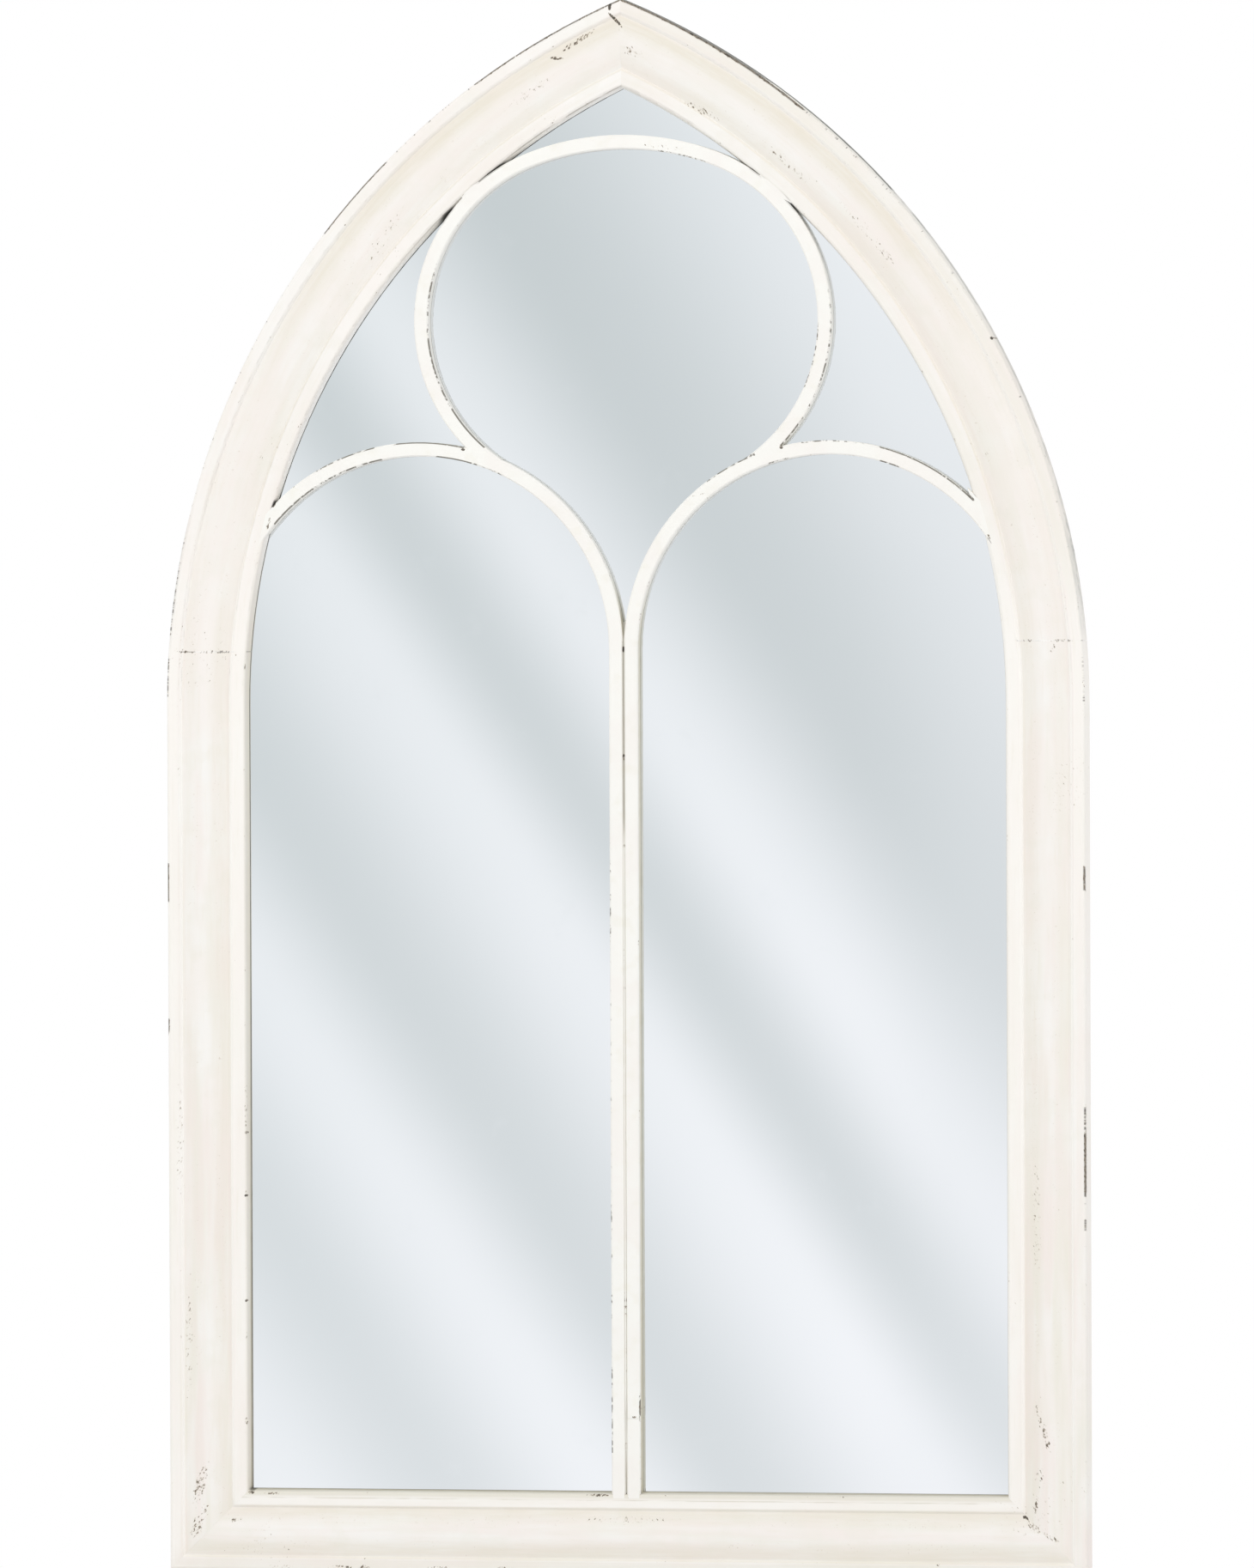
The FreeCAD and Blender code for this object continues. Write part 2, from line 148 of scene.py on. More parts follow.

# Chips, and the dark of narrow gaps: grime and painted shade
chip_rim = linear(198, 186, 166)
chip_shallow = linear(146, 133, 116)
chip_deep = linear(58, 53, 47)
gap_dirt_shade = linear(48, 44, 38)

# Colours of the bars' paint, and of painted shade and light on their sides and in the mullion's gap
bar_cool = linear(251, 250, 245)
bar_warm = linear(250, 247, 242)
bar_patch = linear(244, 241, 230)
bar_side_front = linear(250, 248, 240)
bar_side_deep_shade = linear(242, 239, 225)
bar_side_lit = linear(254, 253, 249)
bar_side_patch = linear(224, 219, 196)
bar_side_foot_shade = linear(168, 160, 134)
bar_khaki_shade = linear(196, 184, 150)
groove_shade_grey = linear(178, 173, 156)
bare_bar = linear(92, 85, 70)
bar_back = linear(150, 144, 126)

# Colours of the glass, the board and the fittings
glass_edge_dark = linear(136, 168, 156)
glass_edge_pale = linear(176, 198, 188)
glass_back_dark = linear(112, 118, 116)
glass_back_pale = linear(132, 137, 134)
board_brown = linear(126, 92, 62)
board_fibre = linear(158, 122, 86)
board_mottle = linear(110, 80, 54)
board_mesh = linear(84, 60, 40)
steel_dark = linear(118, 115, 110)
steel_pale = linear(140, 136, 129)
steel_rust = linear(122, 88, 64)
steel_rubbed = linear(168, 166, 162)
zinc_blue = linear(160, 162, 166)
zinc_yellow = linear(170, 166, 152)
zinc_dull = linear(122, 121, 117)
felt_dark = linear(62, 56, 50)
felt_fibre = linear(98, 88, 78)
felt_clump = linear(48, 43, 38)
silver_dim = (0.808, 0.84, 0.869, 1.0)
silver_bright = (0.823, 0.85, 0.879, 1.0)


class Nodes:
    """Adds nodes to one node tree.  An input is a plain value or another node's socket."""

    def __init__(self, tree):
        self.tree = tree
        tree.nodes.clear()

    def feed(self, socket, value):
        if isinstance(value, bpy.types.NodeSocket):
            self.tree.links.new(value, socket)
        elif value is not None:
            socket.default_value = value

    def add(self, kind, *inputs, **settings):
        node = self.tree.nodes.new("ShaderNode" + kind)
        for name, value in settings.items():
            setattr(node, name, value)
        for socket, value in zip(node.inputs, inputs):
            self.feed(socket, value)
        return node

    def math(self, operation, *values):
        return self.add("Math", *values, operation=operation).outputs[0]

    def chain(self, operation, values):
        result = values[0]
        for value in values[1:]:
            result = self.math(operation, result, value)
        return result

    def total(self, *values):
        return self.chain("ADD", values)

    def times(self, *values):
        return self.chain("MULTIPLY", values)

    def most(self, *values):
        return self.chain("MAXIMUM", values)

    def vector(self, operation, *values):
        node = self.add("VectorMath", *values, operation=operation)
        return node.outputs["Value" if operation in ("LENGTH", "DOT_PRODUCT") else "Vector"]

    def minus(self, value, taken):
        return self.math("SUBTRACT", value, taken)

    def absolute(self, value):
        return self.math("ABSOLUTE", value)

    def scaled(self, value, factor, offset):
        return self.math("MULTIPLY_ADD", value, factor, offset)

    def distance(self, first, second):
        """How far away a place is, from its two parts."""
        return self.vector("LENGTH", self.combine(first, second, 0.0))

    def opposite(self, share):
        """1 where the share is 0, and 0 where it is 1."""
        return self.minus(1.0, share)

    def blend(self, share, first, second):
        """A plain value between two others."""
        return self.add("Mix", share, None, first, second).outputs[0]

    def lean(self, place, degrees):
        """The place turned about the Y axis."""
        turn = math.radians(degrees)
        return self.add("VectorRotate", place, None, None, turn, rotation_type="Y_AXIS").outputs[0]

    def ease(self, value, start, end):
        """0 at start, 1 at end, and smooth between."""
        node = self.add("MapRange", value, start, end, 0.0, 1.0, interpolation_type="SMOOTHSTEP")
        return node.outputs[0]

    def near(self, value, centre, reach):
        """1 at the centre, 0 from reach away."""
        away = self.absolute(self.minus(value, centre))
        return self.ease(away, reach, 0.0)

    def between(self, value, low, high, soft):
        """1 from low to high, 0 from soft outside."""
        rising = self.ease(value, low - soft, low)
        return self.times(rising, self.ease(value, high + soft, high))

    def noise(self, place, scale, detail=2.0, roughness=0.5):
        return self.add("TexNoise", place, None, scale, detail, roughness).outputs[0]

    def mix(self, share, first, second):
        node = self.add("Mix", share, data_type="RGBA")
        self.feed(node.inputs[6], first)
        self.feed(node.inputs[7], second)
        return node.outputs[2]

    def combine(self, x, y, z):
        return self.add("CombineXYZ", x, y, z).outputs[0]

    def parts(self, place):
        """A vector's x, y and z."""
        return self.add("SeparateXYZ", place).outputs

    def spot(self):
        """The place on the piece in millimetres."""
        return self.vector("MULTIPLY", self.add("TexCoord").outputs["Object"], (1 / MM,) * 3)

    def facing_y(self):
        """-1 where the surface faces the front, and 1 where it faces the back."""
        return self.parts(self.add("TexCoord").outputs["Normal"])[1]

    def seen(self):
        """1 in what the camera sees, also through clear pieces."""
        path = self.add("LightPath").outputs
        return self.most(path["Is Camera Ray"], path["Is Transmission Ray"])

    def surface(self, colour, roughness, metallic=0.0, height=None, depth=0.0, **constants):
        """The finished shader.  Height is a relief of that depth in millimetres."""
        shader = self.add("BsdfPrincipled")
        self.feed(shader.inputs["Base Color"], colour)
        self.feed(shader.inputs["Roughness"], roughness)
        self.feed(shader.inputs["Metallic"], metallic)
        for name, value in constants.items():
            shader.inputs[name.replace("_", " ")].default_value = value
        if height is not None:
            relief = self.add("Bump", 1.0, depth * MM)
            self.feed(relief.inputs["Height"], height)
            self.feed(shader.inputs["Normal"], relief.outputs[0])
        self.add("OutputMaterial", shader.outputs[0])


def new_material(name):
    material = bpy.data.materials.new(name)
    material.use_nodes = True
    return material, Nodes(material.node_tree)


# Wear
mark_core = 0.4  # share of a mark's reach that is fully worn
stroke_lean = 60.0  # degrees
stroke_scale = (0.36, 0.75, 0.75)  # along a chip's stroke, and across it
unworn_limit = 0.87  # noise above this is a chip where the paint isn't worn
worn_drop = 0.5  # how far full wear lowers that limit
least_edge_wear = 0.16
edge_zone_soft = 5.0  # how far the wear of a zone fades out past its ends
bar_zone_soft = 1.0


def marks(n, spot, rows):
    """How worn the paint is by single marks.

    A row holds x, z, half length, half breadth, turn in degrees and strength.
    """
    worn = []
    for x, z, half_length, half_breadth, turn, strength in rows:
        local = n.lean(n.vector("SUBTRACT", spot, (x, 0.0, z)), turn)
        shrunk = n.vector("MULTIPLY", local, (1 / half_length, 0.0, 1 / half_breadth))
        reach = n.vector("LENGTH", shrunk)
        worn.append(n.times(n.ease(reach, 1.0, mark_core), strength))
    return n.most(*worn)


def chipped(n, spot, worn, paint):
    """Paint that is chipped where it is worn: its colour, and a share that is 1 in the chips.

    The chips are short strokes that lean towards the middle on both sides.
    """
    x, y, z = n.parts(spot)
    mirrored_spot = n.combine(n.times(n.absolute(x), -1.0), y, z)
    strokes = n.vector("MULTIPLY", n.lean(mirrored_spot, stroke_lean), stroke_scale)
    speck = n.noise(strokes, 1.0, 2.0, 0.62)
    limit = n.minus(unworn_limit, n.times(worn, worn_drop))
    over = n.minus(speck, limit)
    chip = n.ease(over, 0.0, 0.05)
    rim = n.ease(over, -0.07, 0.01)
    bare = n.mix(n.ease(over, 0.03, 0.2), chip_shallow, chip_deep)
    thin = n.mix(n.times(rim, 0.4), paint, chip_rim)
    return n.mix(n.times(chip, 0.94), thin, bare), chip


# Marks on the frame
frame_marks = (
    (-3.5, 513, 10.5, 1.7, -47, 1.15),
    (-7.4, 523, 5, 1.8, 84, 1.1),
    (-30.5, 498.5, 22, 3, 33, 0.7),
    (-46.5, 486.5, 8, 1.8, -5, 0.86),
    (8, 490.5, 13, 6, -20, 0.56),
    (-66, 462, 34, 5, 33, 0.46),
    (-171, 364, 34, 6, 50, 0.44),
    (58.5, 448.4, 26, 4.2, -27, 0.6),
    (120, 410, 50, 5, -40, 0.46),
    (174.9, 363.2, 42, 5, -50, 0.5),
    (190, 345, 15, 4, -52, 0.41),
    (-307.8, -527, 26, 6.4, 76, 0.62),
    (-308.6, -553, 20, 6.4, 68, 0.63),
    (-281.5, -552, 9, 2.6, 20, 0.66),
    (-271.4, -533, 4.5, 1.6, 0, 1),
    (298.5, -481, 30, 4, -74, 0.66),
    (295.5, -518.5, 14, 4.6, 80, 0.56),
    (293.5, -536.5, 13, 2.8, 84, 0.68),
    (286, -546, 4, 2.4, -40, 0.95),
    (291.5, -552, 11, 3.6, -38, 0.68),
    (304.5, -559.5, 11, 2.8, -30, 0.72),
    (-322, -283, 70, 4.4, 90, 0.45),
    (-316, -420, 80, 4.4, 90, 0.46),
    (294.8, -338, 74, 5, 90, 0.46),
    (307.5, 68, 6, 2.6, 70, 0.66),
    (0, -549.5, 60, 4, 0, 0.46),
    (-250, -585.6, 20, 3, 0, 0.54),
    (-206, -585.6, 14, 3, 0, 0.66),
    (-189, -585.6, 6, 3, 0, 0.86),
    (-135, -585.6, 15, 3, 0, 0.64),
    (-88, -585.6, 15, 3, 0, 0.64),
    (224, -579.5, 1.7, 1.3, 0, 1),
    (-274.4, -256, 34, 1.7, 90, 0.5),
    (-274.4, -276, 2, 1.5, 0, 1.1),
    (-274.4, -321, 1.6, 1.4, 0, 1),
    (-274.4, -396, 1.6, 1.4, 0, 1),
    (-274.8, -482, 4, 1.7, 90, 0.74),
    (264.6, 286, 1.8, 1.3, -60, 1.2),
    (-20, -532.6, 12, 1.4, 0, 0.9),
    (-255, -533.4, 14, 1.4, 0, 0.66),
)

# Dark slivers in the narrow gaps beside the bars' joints, grime and painted shade, on the frame's
# side and on the bars' side
shared_dirt_shade = (
    (-96.3, 405.5, 18, 5, 33, 1.1),
    (-125, 375.5, 11, 5, 46, 0.9),
    (-252.5, 171, 5, 3, 60, 0.9),
)
frame_dirt_shade = (
    *shared_dirt_shade,
    (97.5, 404.5, 8, 4, -33, 0.5),
    (-271, -530.5, 3, 2, 0, 0.8),
)
bar_dirt_shade = (
    *shared_dirt_shade,
    (97.5, 404.5, 9, 4, -33, 0.7),
    (119, 384, 12, 5, -48, 0.8),
    (254.5, 174.5, 5, 3, -35, 0.8),
)

# Where the outer front edge is worn: side, lowest and highest place, strength
worn_edges = (
    (1, 450, 530, 0.9),
    (1, 385, 450, 0.36),
    (1, 250, 385, 0.24),
    (1, 95, 250, 0.26),
    (1, 30, 64, 0.42),
    (1, -101, -88, 0.8),
    (1, -276, -256, 0.6),
    (1, -316, -276, 0.95),
    (1, -337, -316, 0.32),
    (1, -341, -337, 0.6),
    (1, -516, -506, 0.34),
    (-1, 470, 530, 0.8),
    (-1, 412, 470, 0.36),
    (-1, 366, 412, 0.9),
    (-1, 130, 366, 0.3),
    (-1, 79, 130, 0.52),
    (-1, 36, 61, 0.58),
    (-1, -110, -87, 0.85),
    (-1, -204, -197, 0.7),
)


def dirt_and_shade(n, spot, places, facing_y):
    """How dark the sides of narrow gaps are, with grime and painted shade."""
    side_on = n.ease(n.absolute(facing_y), 0.85, 0.5)
    return n.times(marks(n, spot, places), side_on)


def frame_paint():
    """Ivory paint on the moulding, with painted beige shade in its hollows and painted light on its
    flats, worn to dark metal.
    """
    material, n = new_material("frame_paint")
    spot = n.spot()
    x, y, z = n.parts(spot)
    facing_y = n.facing_y()

    # Where this is: across and along the moulding
    out = n.total(n.absolute(x), arch_offset)
    rise = n.most(n.minus(z, spring), 0.0)
    radius = n.distance(out, rise)
    from_side = n.minus(arch_radius, radius)
    from_bottom = n.minus(z, bottom)
    across = n.math("MINIMUM", from_side, from_bottom)
    on_rail = n.math("LESS_THAN", from_bottom, from_side)
    rail_share = n.ease(n.minus(from_side, from_bottom), -14.0, 14.0)
    below = n.math("MINIMUM", n.minus(z, spring), 0.0)
    side_run = n.total(below, n.times(n.math("ARCTAN2", rise, out), arch_radius))
    along = n.blend(on_rail, side_run, x)
    right = n.math("GREATER_THAN", x, 0.0)
    left = n.opposite(right)
    low = n.ease(z, spring, bottom + 100.0)
    arch = n.ease(z, spring + 20.0, spring + 150.0)
    towards_apex = n.ease(z, spring + 190.0, spring + 370.0)
    beside_rail = n.opposite(on_rail)
    straight = n.opposite(arch)
    side_seed = n.blend(on_rail, n.times(right, 40.0), 80.0)

    # Paint: broad tints in soft lengthwise bands, brushing, and painted beige shade in the hollows
    broad = n.noise(spot, 0.02, 3.0, 0.55)
    patchy = n.noise(spot, 0.055)
    strokes = n.combine(n.times(along, 0.035), n.times(across, 0.4), side_seed)
    brushed = n.noise(strokes, 1.0, 3.0, 0.6)
    banded = n.combine(n.times(along, 0.007), n.times(across, 0.08), side_seed)
    green_band = n.ease(n.noise(banded, 1.0), 0.44, 0.68)
    elsewhere = n.vector("ADD", banded, (7.0, 31.0, 0.0))
    pink_band = n.ease(n.noise(elsewhere, 1.0), 0.42, 0.66)
    paint = n.mix(n.ease(broad, 0.36, 0.6), ivory_cool, ivory_warm)
    band_share = n.scaled(low, 0.42, 0.34)
    band_share = n.times(band_share, n.scaled(rail_share, -0.4, 1.0))
    paint = n.mix(n.times(green_band, band_share), paint, ivory_green)
    paint = n.mix(n.times(pink_band, band_share), paint, ivory_pink)
    paint = n.mix(n.times(n.ease(patchy, 0.5, 0.7), 0.35), paint, ivory_patch)
    # Painted light: the flat bands are made whiter, less low down, little on the arches, and not on
    # the outer band of the rail or of the lower right
    outer_flat = n.ease(across, outer_band - 0.4, outer_band - 1.6)
    inner_flat = n.between(across, band_start, band_end, 0.6)
    flats = n.most(outer_flat, inner_flat)
    flat_light_share = n.times(flats, n.scaled(low, -0.2, 0.7))
    outer_low = n.times(outer_flat, n.most(rail_share, n.times(right, low)))
    flat_light_share = n.times(flat_light_share, n.scaled(arch, -0.85, 1.0))
    flat_light_share = n.times(flat_light_share, n.opposite(outer_low))
    paint = n.mix(flat_light_share, paint, ivory_flat_light)
    dulled_flats = n.total(n.times(outer_flat, 0.22), n.times(inner_flat, 0.1))
    dulled_arch = n.times(right, arch, dulled_flats)
    dulled = n.total(dulled_arch, n.times(outer_flat, rail_share, 0.3))
    paint = n.mix(dulled, paint, ivory_dull_shade)
    crest = n.times(n.near(across, swell_crest, 9.0), arch, 0.28)
    paint = n.mix(crest, paint, ivory_crest)
    # Painted shade in the hollows: beige beside the outer band and before the inner band, more
    # towards the apex
    off_band = n.ease(across, outer_band - 0.1, outer_band + 3.4)
    outer_hollow = n.times(off_band, n.ease(across, swell_crest + 1.0, swell_crest - 10.0))
    outer_share = n.total(0.14, n.times(towards_apex, 0.46), n.times(rail_share, 0.3))
    slope_place = n.scaled(rail_share, -4.0, across)
    off_inner_band = n.ease(across, band_start - 0.6, band_start - 1.8)
    off_crest = n.ease(slope_place, swell_crest + 2.0, swell_crest + 14.0)
    inner_hollow = n.times(off_crest, off_inner_band)
    arch_less = n.times(arch, n.scaled(right, 0.1, -0.12))
    inner_share = n.total(0.26, arch_less, n.times(rail_share, 0.2))
    hollow_shade = n.most(n.times(outer_hollow, outer_share), n.times(inner_hollow, inner_share))
    hollow_shade_share = n.times(hollow_shade, n.scaled(brushed, 1.1, 0.45))
    paint = n.mix(hollow_shade_share, paint, beige_hollow_shade)
    streak = n.times(n.ease(brushed, 0.52, 0.76), 0.3)
    paint = n.mix(streak, paint, ivory_streak)
    # Painted light in the quirks, lifting their shade: on the straight parts and the right arch's
    # outer quirk, not on the rail
    outer_quirk = n.near(across, outer_band + 0.8, 1.5)
    outer_quirk = n.times(outer_quirk, n.most(straight, n.times(right, 0.6)))
    inner_quirk = n.times(n.near(across, band_start - 0.7, 1.5), straight)
    quirk_painted_light = n.most(outer_quirk, inner_quirk)
    quirk_painted_light = n.times(quirk_painted_light, n.scaled(rail_share, -0.85, 0.85))
    paint = n.mix(quirk_painted_light, paint, ivory_quirk_light)
    # Painted shade over the lit sides of the quirks: the inner one on the arches and the rail, and
    # the rail's outer one
    lit_inner = n.times(n.near(across, band_start - 0.3, 1.4), n.most(arch, rail_share))
    lit_outer = n.times(n.near(across, outer_band + 0.4, 1.6), rail_share)
    lit_quirk = n.most(lit_inner, lit_outer)
    paint = n.mix(n.times(lit_quirk, 0.5), paint, ivory_dull_shade)

    # Reveal, with painted shade and light, and the dark joint where it meets the glass, partly a
    # painted shadow
    past_edge = n.ease(across, band_end - 0.2, band_end + 0.6)
    reveal = n.times(past_edge, n.ease(y, 0.4 - band_front, 8.0 - band_front))
    # Painted warm shade on the stiles' reveals, and painted light on the arches' reveals
    paint = n.mix(n.times(reveal, straight, 0.4), paint, reveal_cream_shade)
    paint = n.mix(n.times(reveal, arch, 0.9), paint, reveal_white_light)
    ledge = n.times(n.ease(across, band_end - 4.6, band_end - 1.0), on_rail, 0.6)
    inner_edge = n.ease(across, band_end - 1.6, band_end - 0.2)
    inner_edge = n.times(inner_edge, left, beside_rail, straight, 0.34)
    paint = n.mix(n.most(ledge, inner_edge), paint, ledge_shade)
    ledge_line = n.near(across, band_end - 4.2, 0.7)
    ledge_line = n.times(ledge_line, on_rail, n.ease(brushed, 0.35, 0.6), 0.4)
    paint = n.mix(ledge_line, paint, ledge_crack)
    # The dark joint at the glass, partly a painted shadow of the gap there: stronger low down,
    # weaker on the right
    joint_start = n.total(joint_y, n.times(low, -2.6), n.times(on_rail, -2.2))
    from_joint = n.minus(y, joint_start)
    on_reveal = n.ease(across, band_end + 0.6, band_end + 1.2)
    joint = n.times(on_reveal, n.ease(from_joint, -0.8, 0.2))
    apex_side = n.times(towards_apex, n.scaled(right, -0.4, 0.2))
    joint_sides = n.total(n.times(arch, -0.12), apex_side, n.times(right, -0.14))
    joint_strength = n.total(0.46, n.times(low, 0.28), joint_sides)
    joint_shadow_share = n.times(joint, n.scaled(brushed, 0.5, 0.35), joint_strength)
    paint = n.mix(joint_shadow_share, paint, joint_olive_shadow)
    # A grey line along the inner band's edge on the left, near the apex
    front_line = n.times(n.near(across, band_end, 0.7), left, n.ease(z, apex - 228.0, apex - 128.0))
    front_line = n.times(front_line, n.ease(brushed, 0.3, 0.5), 0.6)
    paint = n.mix(front_line, paint, inner_line_grey)

    # Outer side walls: greyer along the arches' back edge, dark towards the apex on the right
    off_front = n.ease(y, 0.4 - outer_front, 1.2 - outer_front)
    outer_wall = n.times(n.ease(across, 1.2, 0.4), off_front, beside_rail)
    drift = n.noise(spot, 0.07, 4.0, 0.65)
    rear = n.ease(n.scaled(drift, 12.0, y), -9.0, -4.0)
    above_seam = n.between(z, spring + 70.0, spring + 106.0, 34.0)
    greyed = n.total(n.times(rear, arch, 0.7), n.times(above_seam, 0.34))
    greyed = n.times(outer_wall, greyed, n.ease(drift, 0.28, 0.6))
    paint = n.mix(greyed, paint, rear_grey)
    behind = n.times(rear, n.ease(z, apex - 178.0, apex - 108.0), 0.5)
    dark_part = n.most(behind, n.times(n.ease(z, apex - 88.0, apex - 28.0), 0.5))
    dark_wall = n.times(right, n.ease(n.total(dark_part, drift), 0.66, 0.78))
    paint = n.mix(n.times(outer_wall, dark_wall, 0.85), paint, dark_side_grey)

    # Faint specks along the swell
    speckle = n.ease(n.noise(spot, 0.62, 2.0, 0.6), 0.64, 0.73)
    rows = n.most(n.near(across, swell_crest + 12.0, 6.0), n.near(across, swell_crest - 5.0, 6.0))
    gathered = n.ease(n.noise(spot, 0.03), 0.4, 0.58)
    paint = n.mix(n.times(speckle, rows, gathered, 0.55), paint, speck_beige)

    # Wear: a thin bare line along the outer edge, then chips
    dashes = n.noise(n.combine(n.times(along, 0.05), 0.0, side_seed), 1.0, 3.0, 0.6)
    dash = n.ease(dashes, 0.42, 0.66)
    ragged = n.noise(n.combine(n.times(along, 0.22), 5.0, side_seed), 1.0, 3.0, 0.7)
    zones = [least_edge_wear]
    for side, lowest, highest, strength in worn_edges:
        here = n.between(z, lowest, highest, edge_zone_soft)
        zones.append(n.times(here, right if side > 0 else left, strength))
    zone = n.most(*zones)
    near_front = n.ease(y, 3.0 - outer_front, 1.4 - outer_front)
    edge_line = n.times(n.ease(across, 1.7, 0.7), near_front)
    bare_line = n.ease(n.scaled(zone, 0.46, ragged), 0.7, 0.82)
    paint = n.mix(n.times(edge_line, bare_line, 0.9), paint, bare_edge)
    towards_front = n.ease(y, 5.0 - outer_front, 3.0 - outer_front)
    edge_here = n.times(n.ease(across, 2.4, 0.8), towards_front)
    edge_worn = n.times(edge_here, n.total(n.times(zone, 0.86), n.times(dash, 0.22)))
    quirk_worn = n.times(n.near(across, outer_band - 0.3, 1.6), dash, 0.5)
    band_worn = n.times(n.near(across, band_start + 0.6, 1.4), dash, 0.3)
    reveal_worn = n.times(n.near(across, band_end - 0.4, 1.4), dash, 0.58)
    seam_z = n.blend(right, left_seam, right_seam)
    from_seam = n.absolute(n.minus(z, seam_z))
    seam_width = n.between(across, outer_band - 4.0, band_start - 3.0, 2.0)
    seam_here = n.times(n.ease(from_seam, 1.8, 0.4), seam_width)
    open_left = n.times(n.near(across, band_start - 8.0, 9.0), left)
    seam_open = n.most(n.near(across, outer_band + 3.0, 6.0), open_left)
    seam_worn = n.times(seam_here, n.scaled(seam_open, 0.26, 0.54))
    speckled = n.times(n.ease(n.noise(spot, 0.018), 0.48, 0.68), 0.34)
    clumped = n.scaled(n.noise(spot, 0.16), 1.0, 0.5)
    single = n.times(marks(n, spot, frame_marks), clumped)
    worn = n.most(edge_worn, quirk_worn, band_worn, reveal_worn, seam_worn, speckled, single)
    paint, chip = chipped(n, spot, worn, paint)
    # Grime and painted shade on the sides of narrow gaps
    paint = n.mix(n.times(dirt_and_shade(n, spot, frame_dirt_shade, facing_y), 0.9), paint, gap_dirt_shade)

    # Grey primer inside the channel, paler in places and stained along it
    off_reveal = n.ease(across, band_end - 0.4, band_end - 0.8)
    behind_front = n.ease(y, 2.6 - band_front, 3.0 - band_front)
    inside = n.times(n.ease(across, 0.6, 0.8), off_reveal, behind_front)
    inside = n.most(inside, n.ease(facing_y, 0.25, 0.4))
    primer = n.mix(n.ease(broad, 0.4, 0.65), primer_dark, primer_pale)
    primer = n.mix(n.times(n.ease(brushed, 0.5, 0.75), 0.35), primer, primer_stain)
    colour = n.mix(inside, paint, primer)

    grain = n.noise(spot, 0.5, 3.0, 0.6)
    roughness = n.total(0.46, n.times(grain, 0.14), n.times(chip, 0.12))
    height = n.total(n.times(grain, 0.35), n.times(brushed, 0.4), n.times(chip, -0.8))
    n.surface(colour, roughness, height=height, depth=0.12)
    return material


# Marks on the bars' faces
bar_marks = (
    (254, 176, 3.6, 2, -35, 1.2),
    (-252.5, 171, 3.6, 2, 50, 1.2),
    (-256.5, 157, 10, 1.8, 70, 0.74),
    (-254.6, 150.6, 2.6, 1.8, 40, 1.1),
    (-114.8, 209.6, 2.2, 1.4, 0, 1.05),
    (113.8, 209.8, 2.2, 1.4, 0, 1.05),
    (263, 146, 4, 1.8, -45, 0.95),
    (6, -477, 3, 1.2, 0, 0.74),
    (9.8, -472, 7, 1.2, 90, 0.6),
    (0.4, -534, 2.2, 1.6, 0, 0.95),
    (-11, -533.5, 2.4, 1.4, 0, 0.95),
    (11, -532.5, 2.4, 1.4, 0, 0.85),
    (0, 67.5, 3.5, 1.2, 90, 1.1),
    (0, -9, 4, 1.2, 90, 0.9),
    (152, 270, 10, 3.4, 65, 0.64),
    (30, 423, 22, 3, -6, 0.5),
)

# Where the bars' front edges are worn: bar, side, inner (-1) or outer (1) edge, start, end and
# strength.  Start and end are heights on the mullion, and elsewhere degrees about the bar's centre,
# upwards from straight out.
worn_bar_edges = (
    ("light", -1, -1, 41, 56, 0.72),
    ("light", -1, -1, 57, 74, 0.42),
    ("light", -1, -1, 68, 70, 1),
    ("light", -1, -1, 75.5, 78.5, 0.9),
    ("light", -1, 1, 60, 77, 0.62),
    ("light", -1, 1, 83, 92, 0.34),
    ("light", -1, 1, 92, 102.5, 0.64),
    ("light", -1, -1, 96, 116, 0.48),
    ("light", 1, 1, 45.5, 75, 0.8),
    ("light", 1, 1, 80, 97, 0.32),
    ("light", 1, -1, 69, 74, 0.46),
    ("light", 1, -1, 30, 34, 0.9),
    ("light", 1, -1, 102, 108, 0.5),
    ("light", 1, 1, 111, 126, 0.66),
    ("ring", -1, -1, -49, -32, 0.95),
    ("ring", -1, -1, -30, 20, 0.4),
    ("ring", 1, 1, -44, -36, 0.76),
    ("ring", 1, 1, -36, 10, 0.44),
    ("ring", 1, -1, -24, 0, 0.5),
    ("ring", 1, -1, 72, 92, 0.42),
    ("mullion", -1, -1, -502, -442, 0.6),
    ("mullion", -1, -1, -440, -60, 0.34),
    ("mullion", 1, -1, -480, -462, 0.66),
)


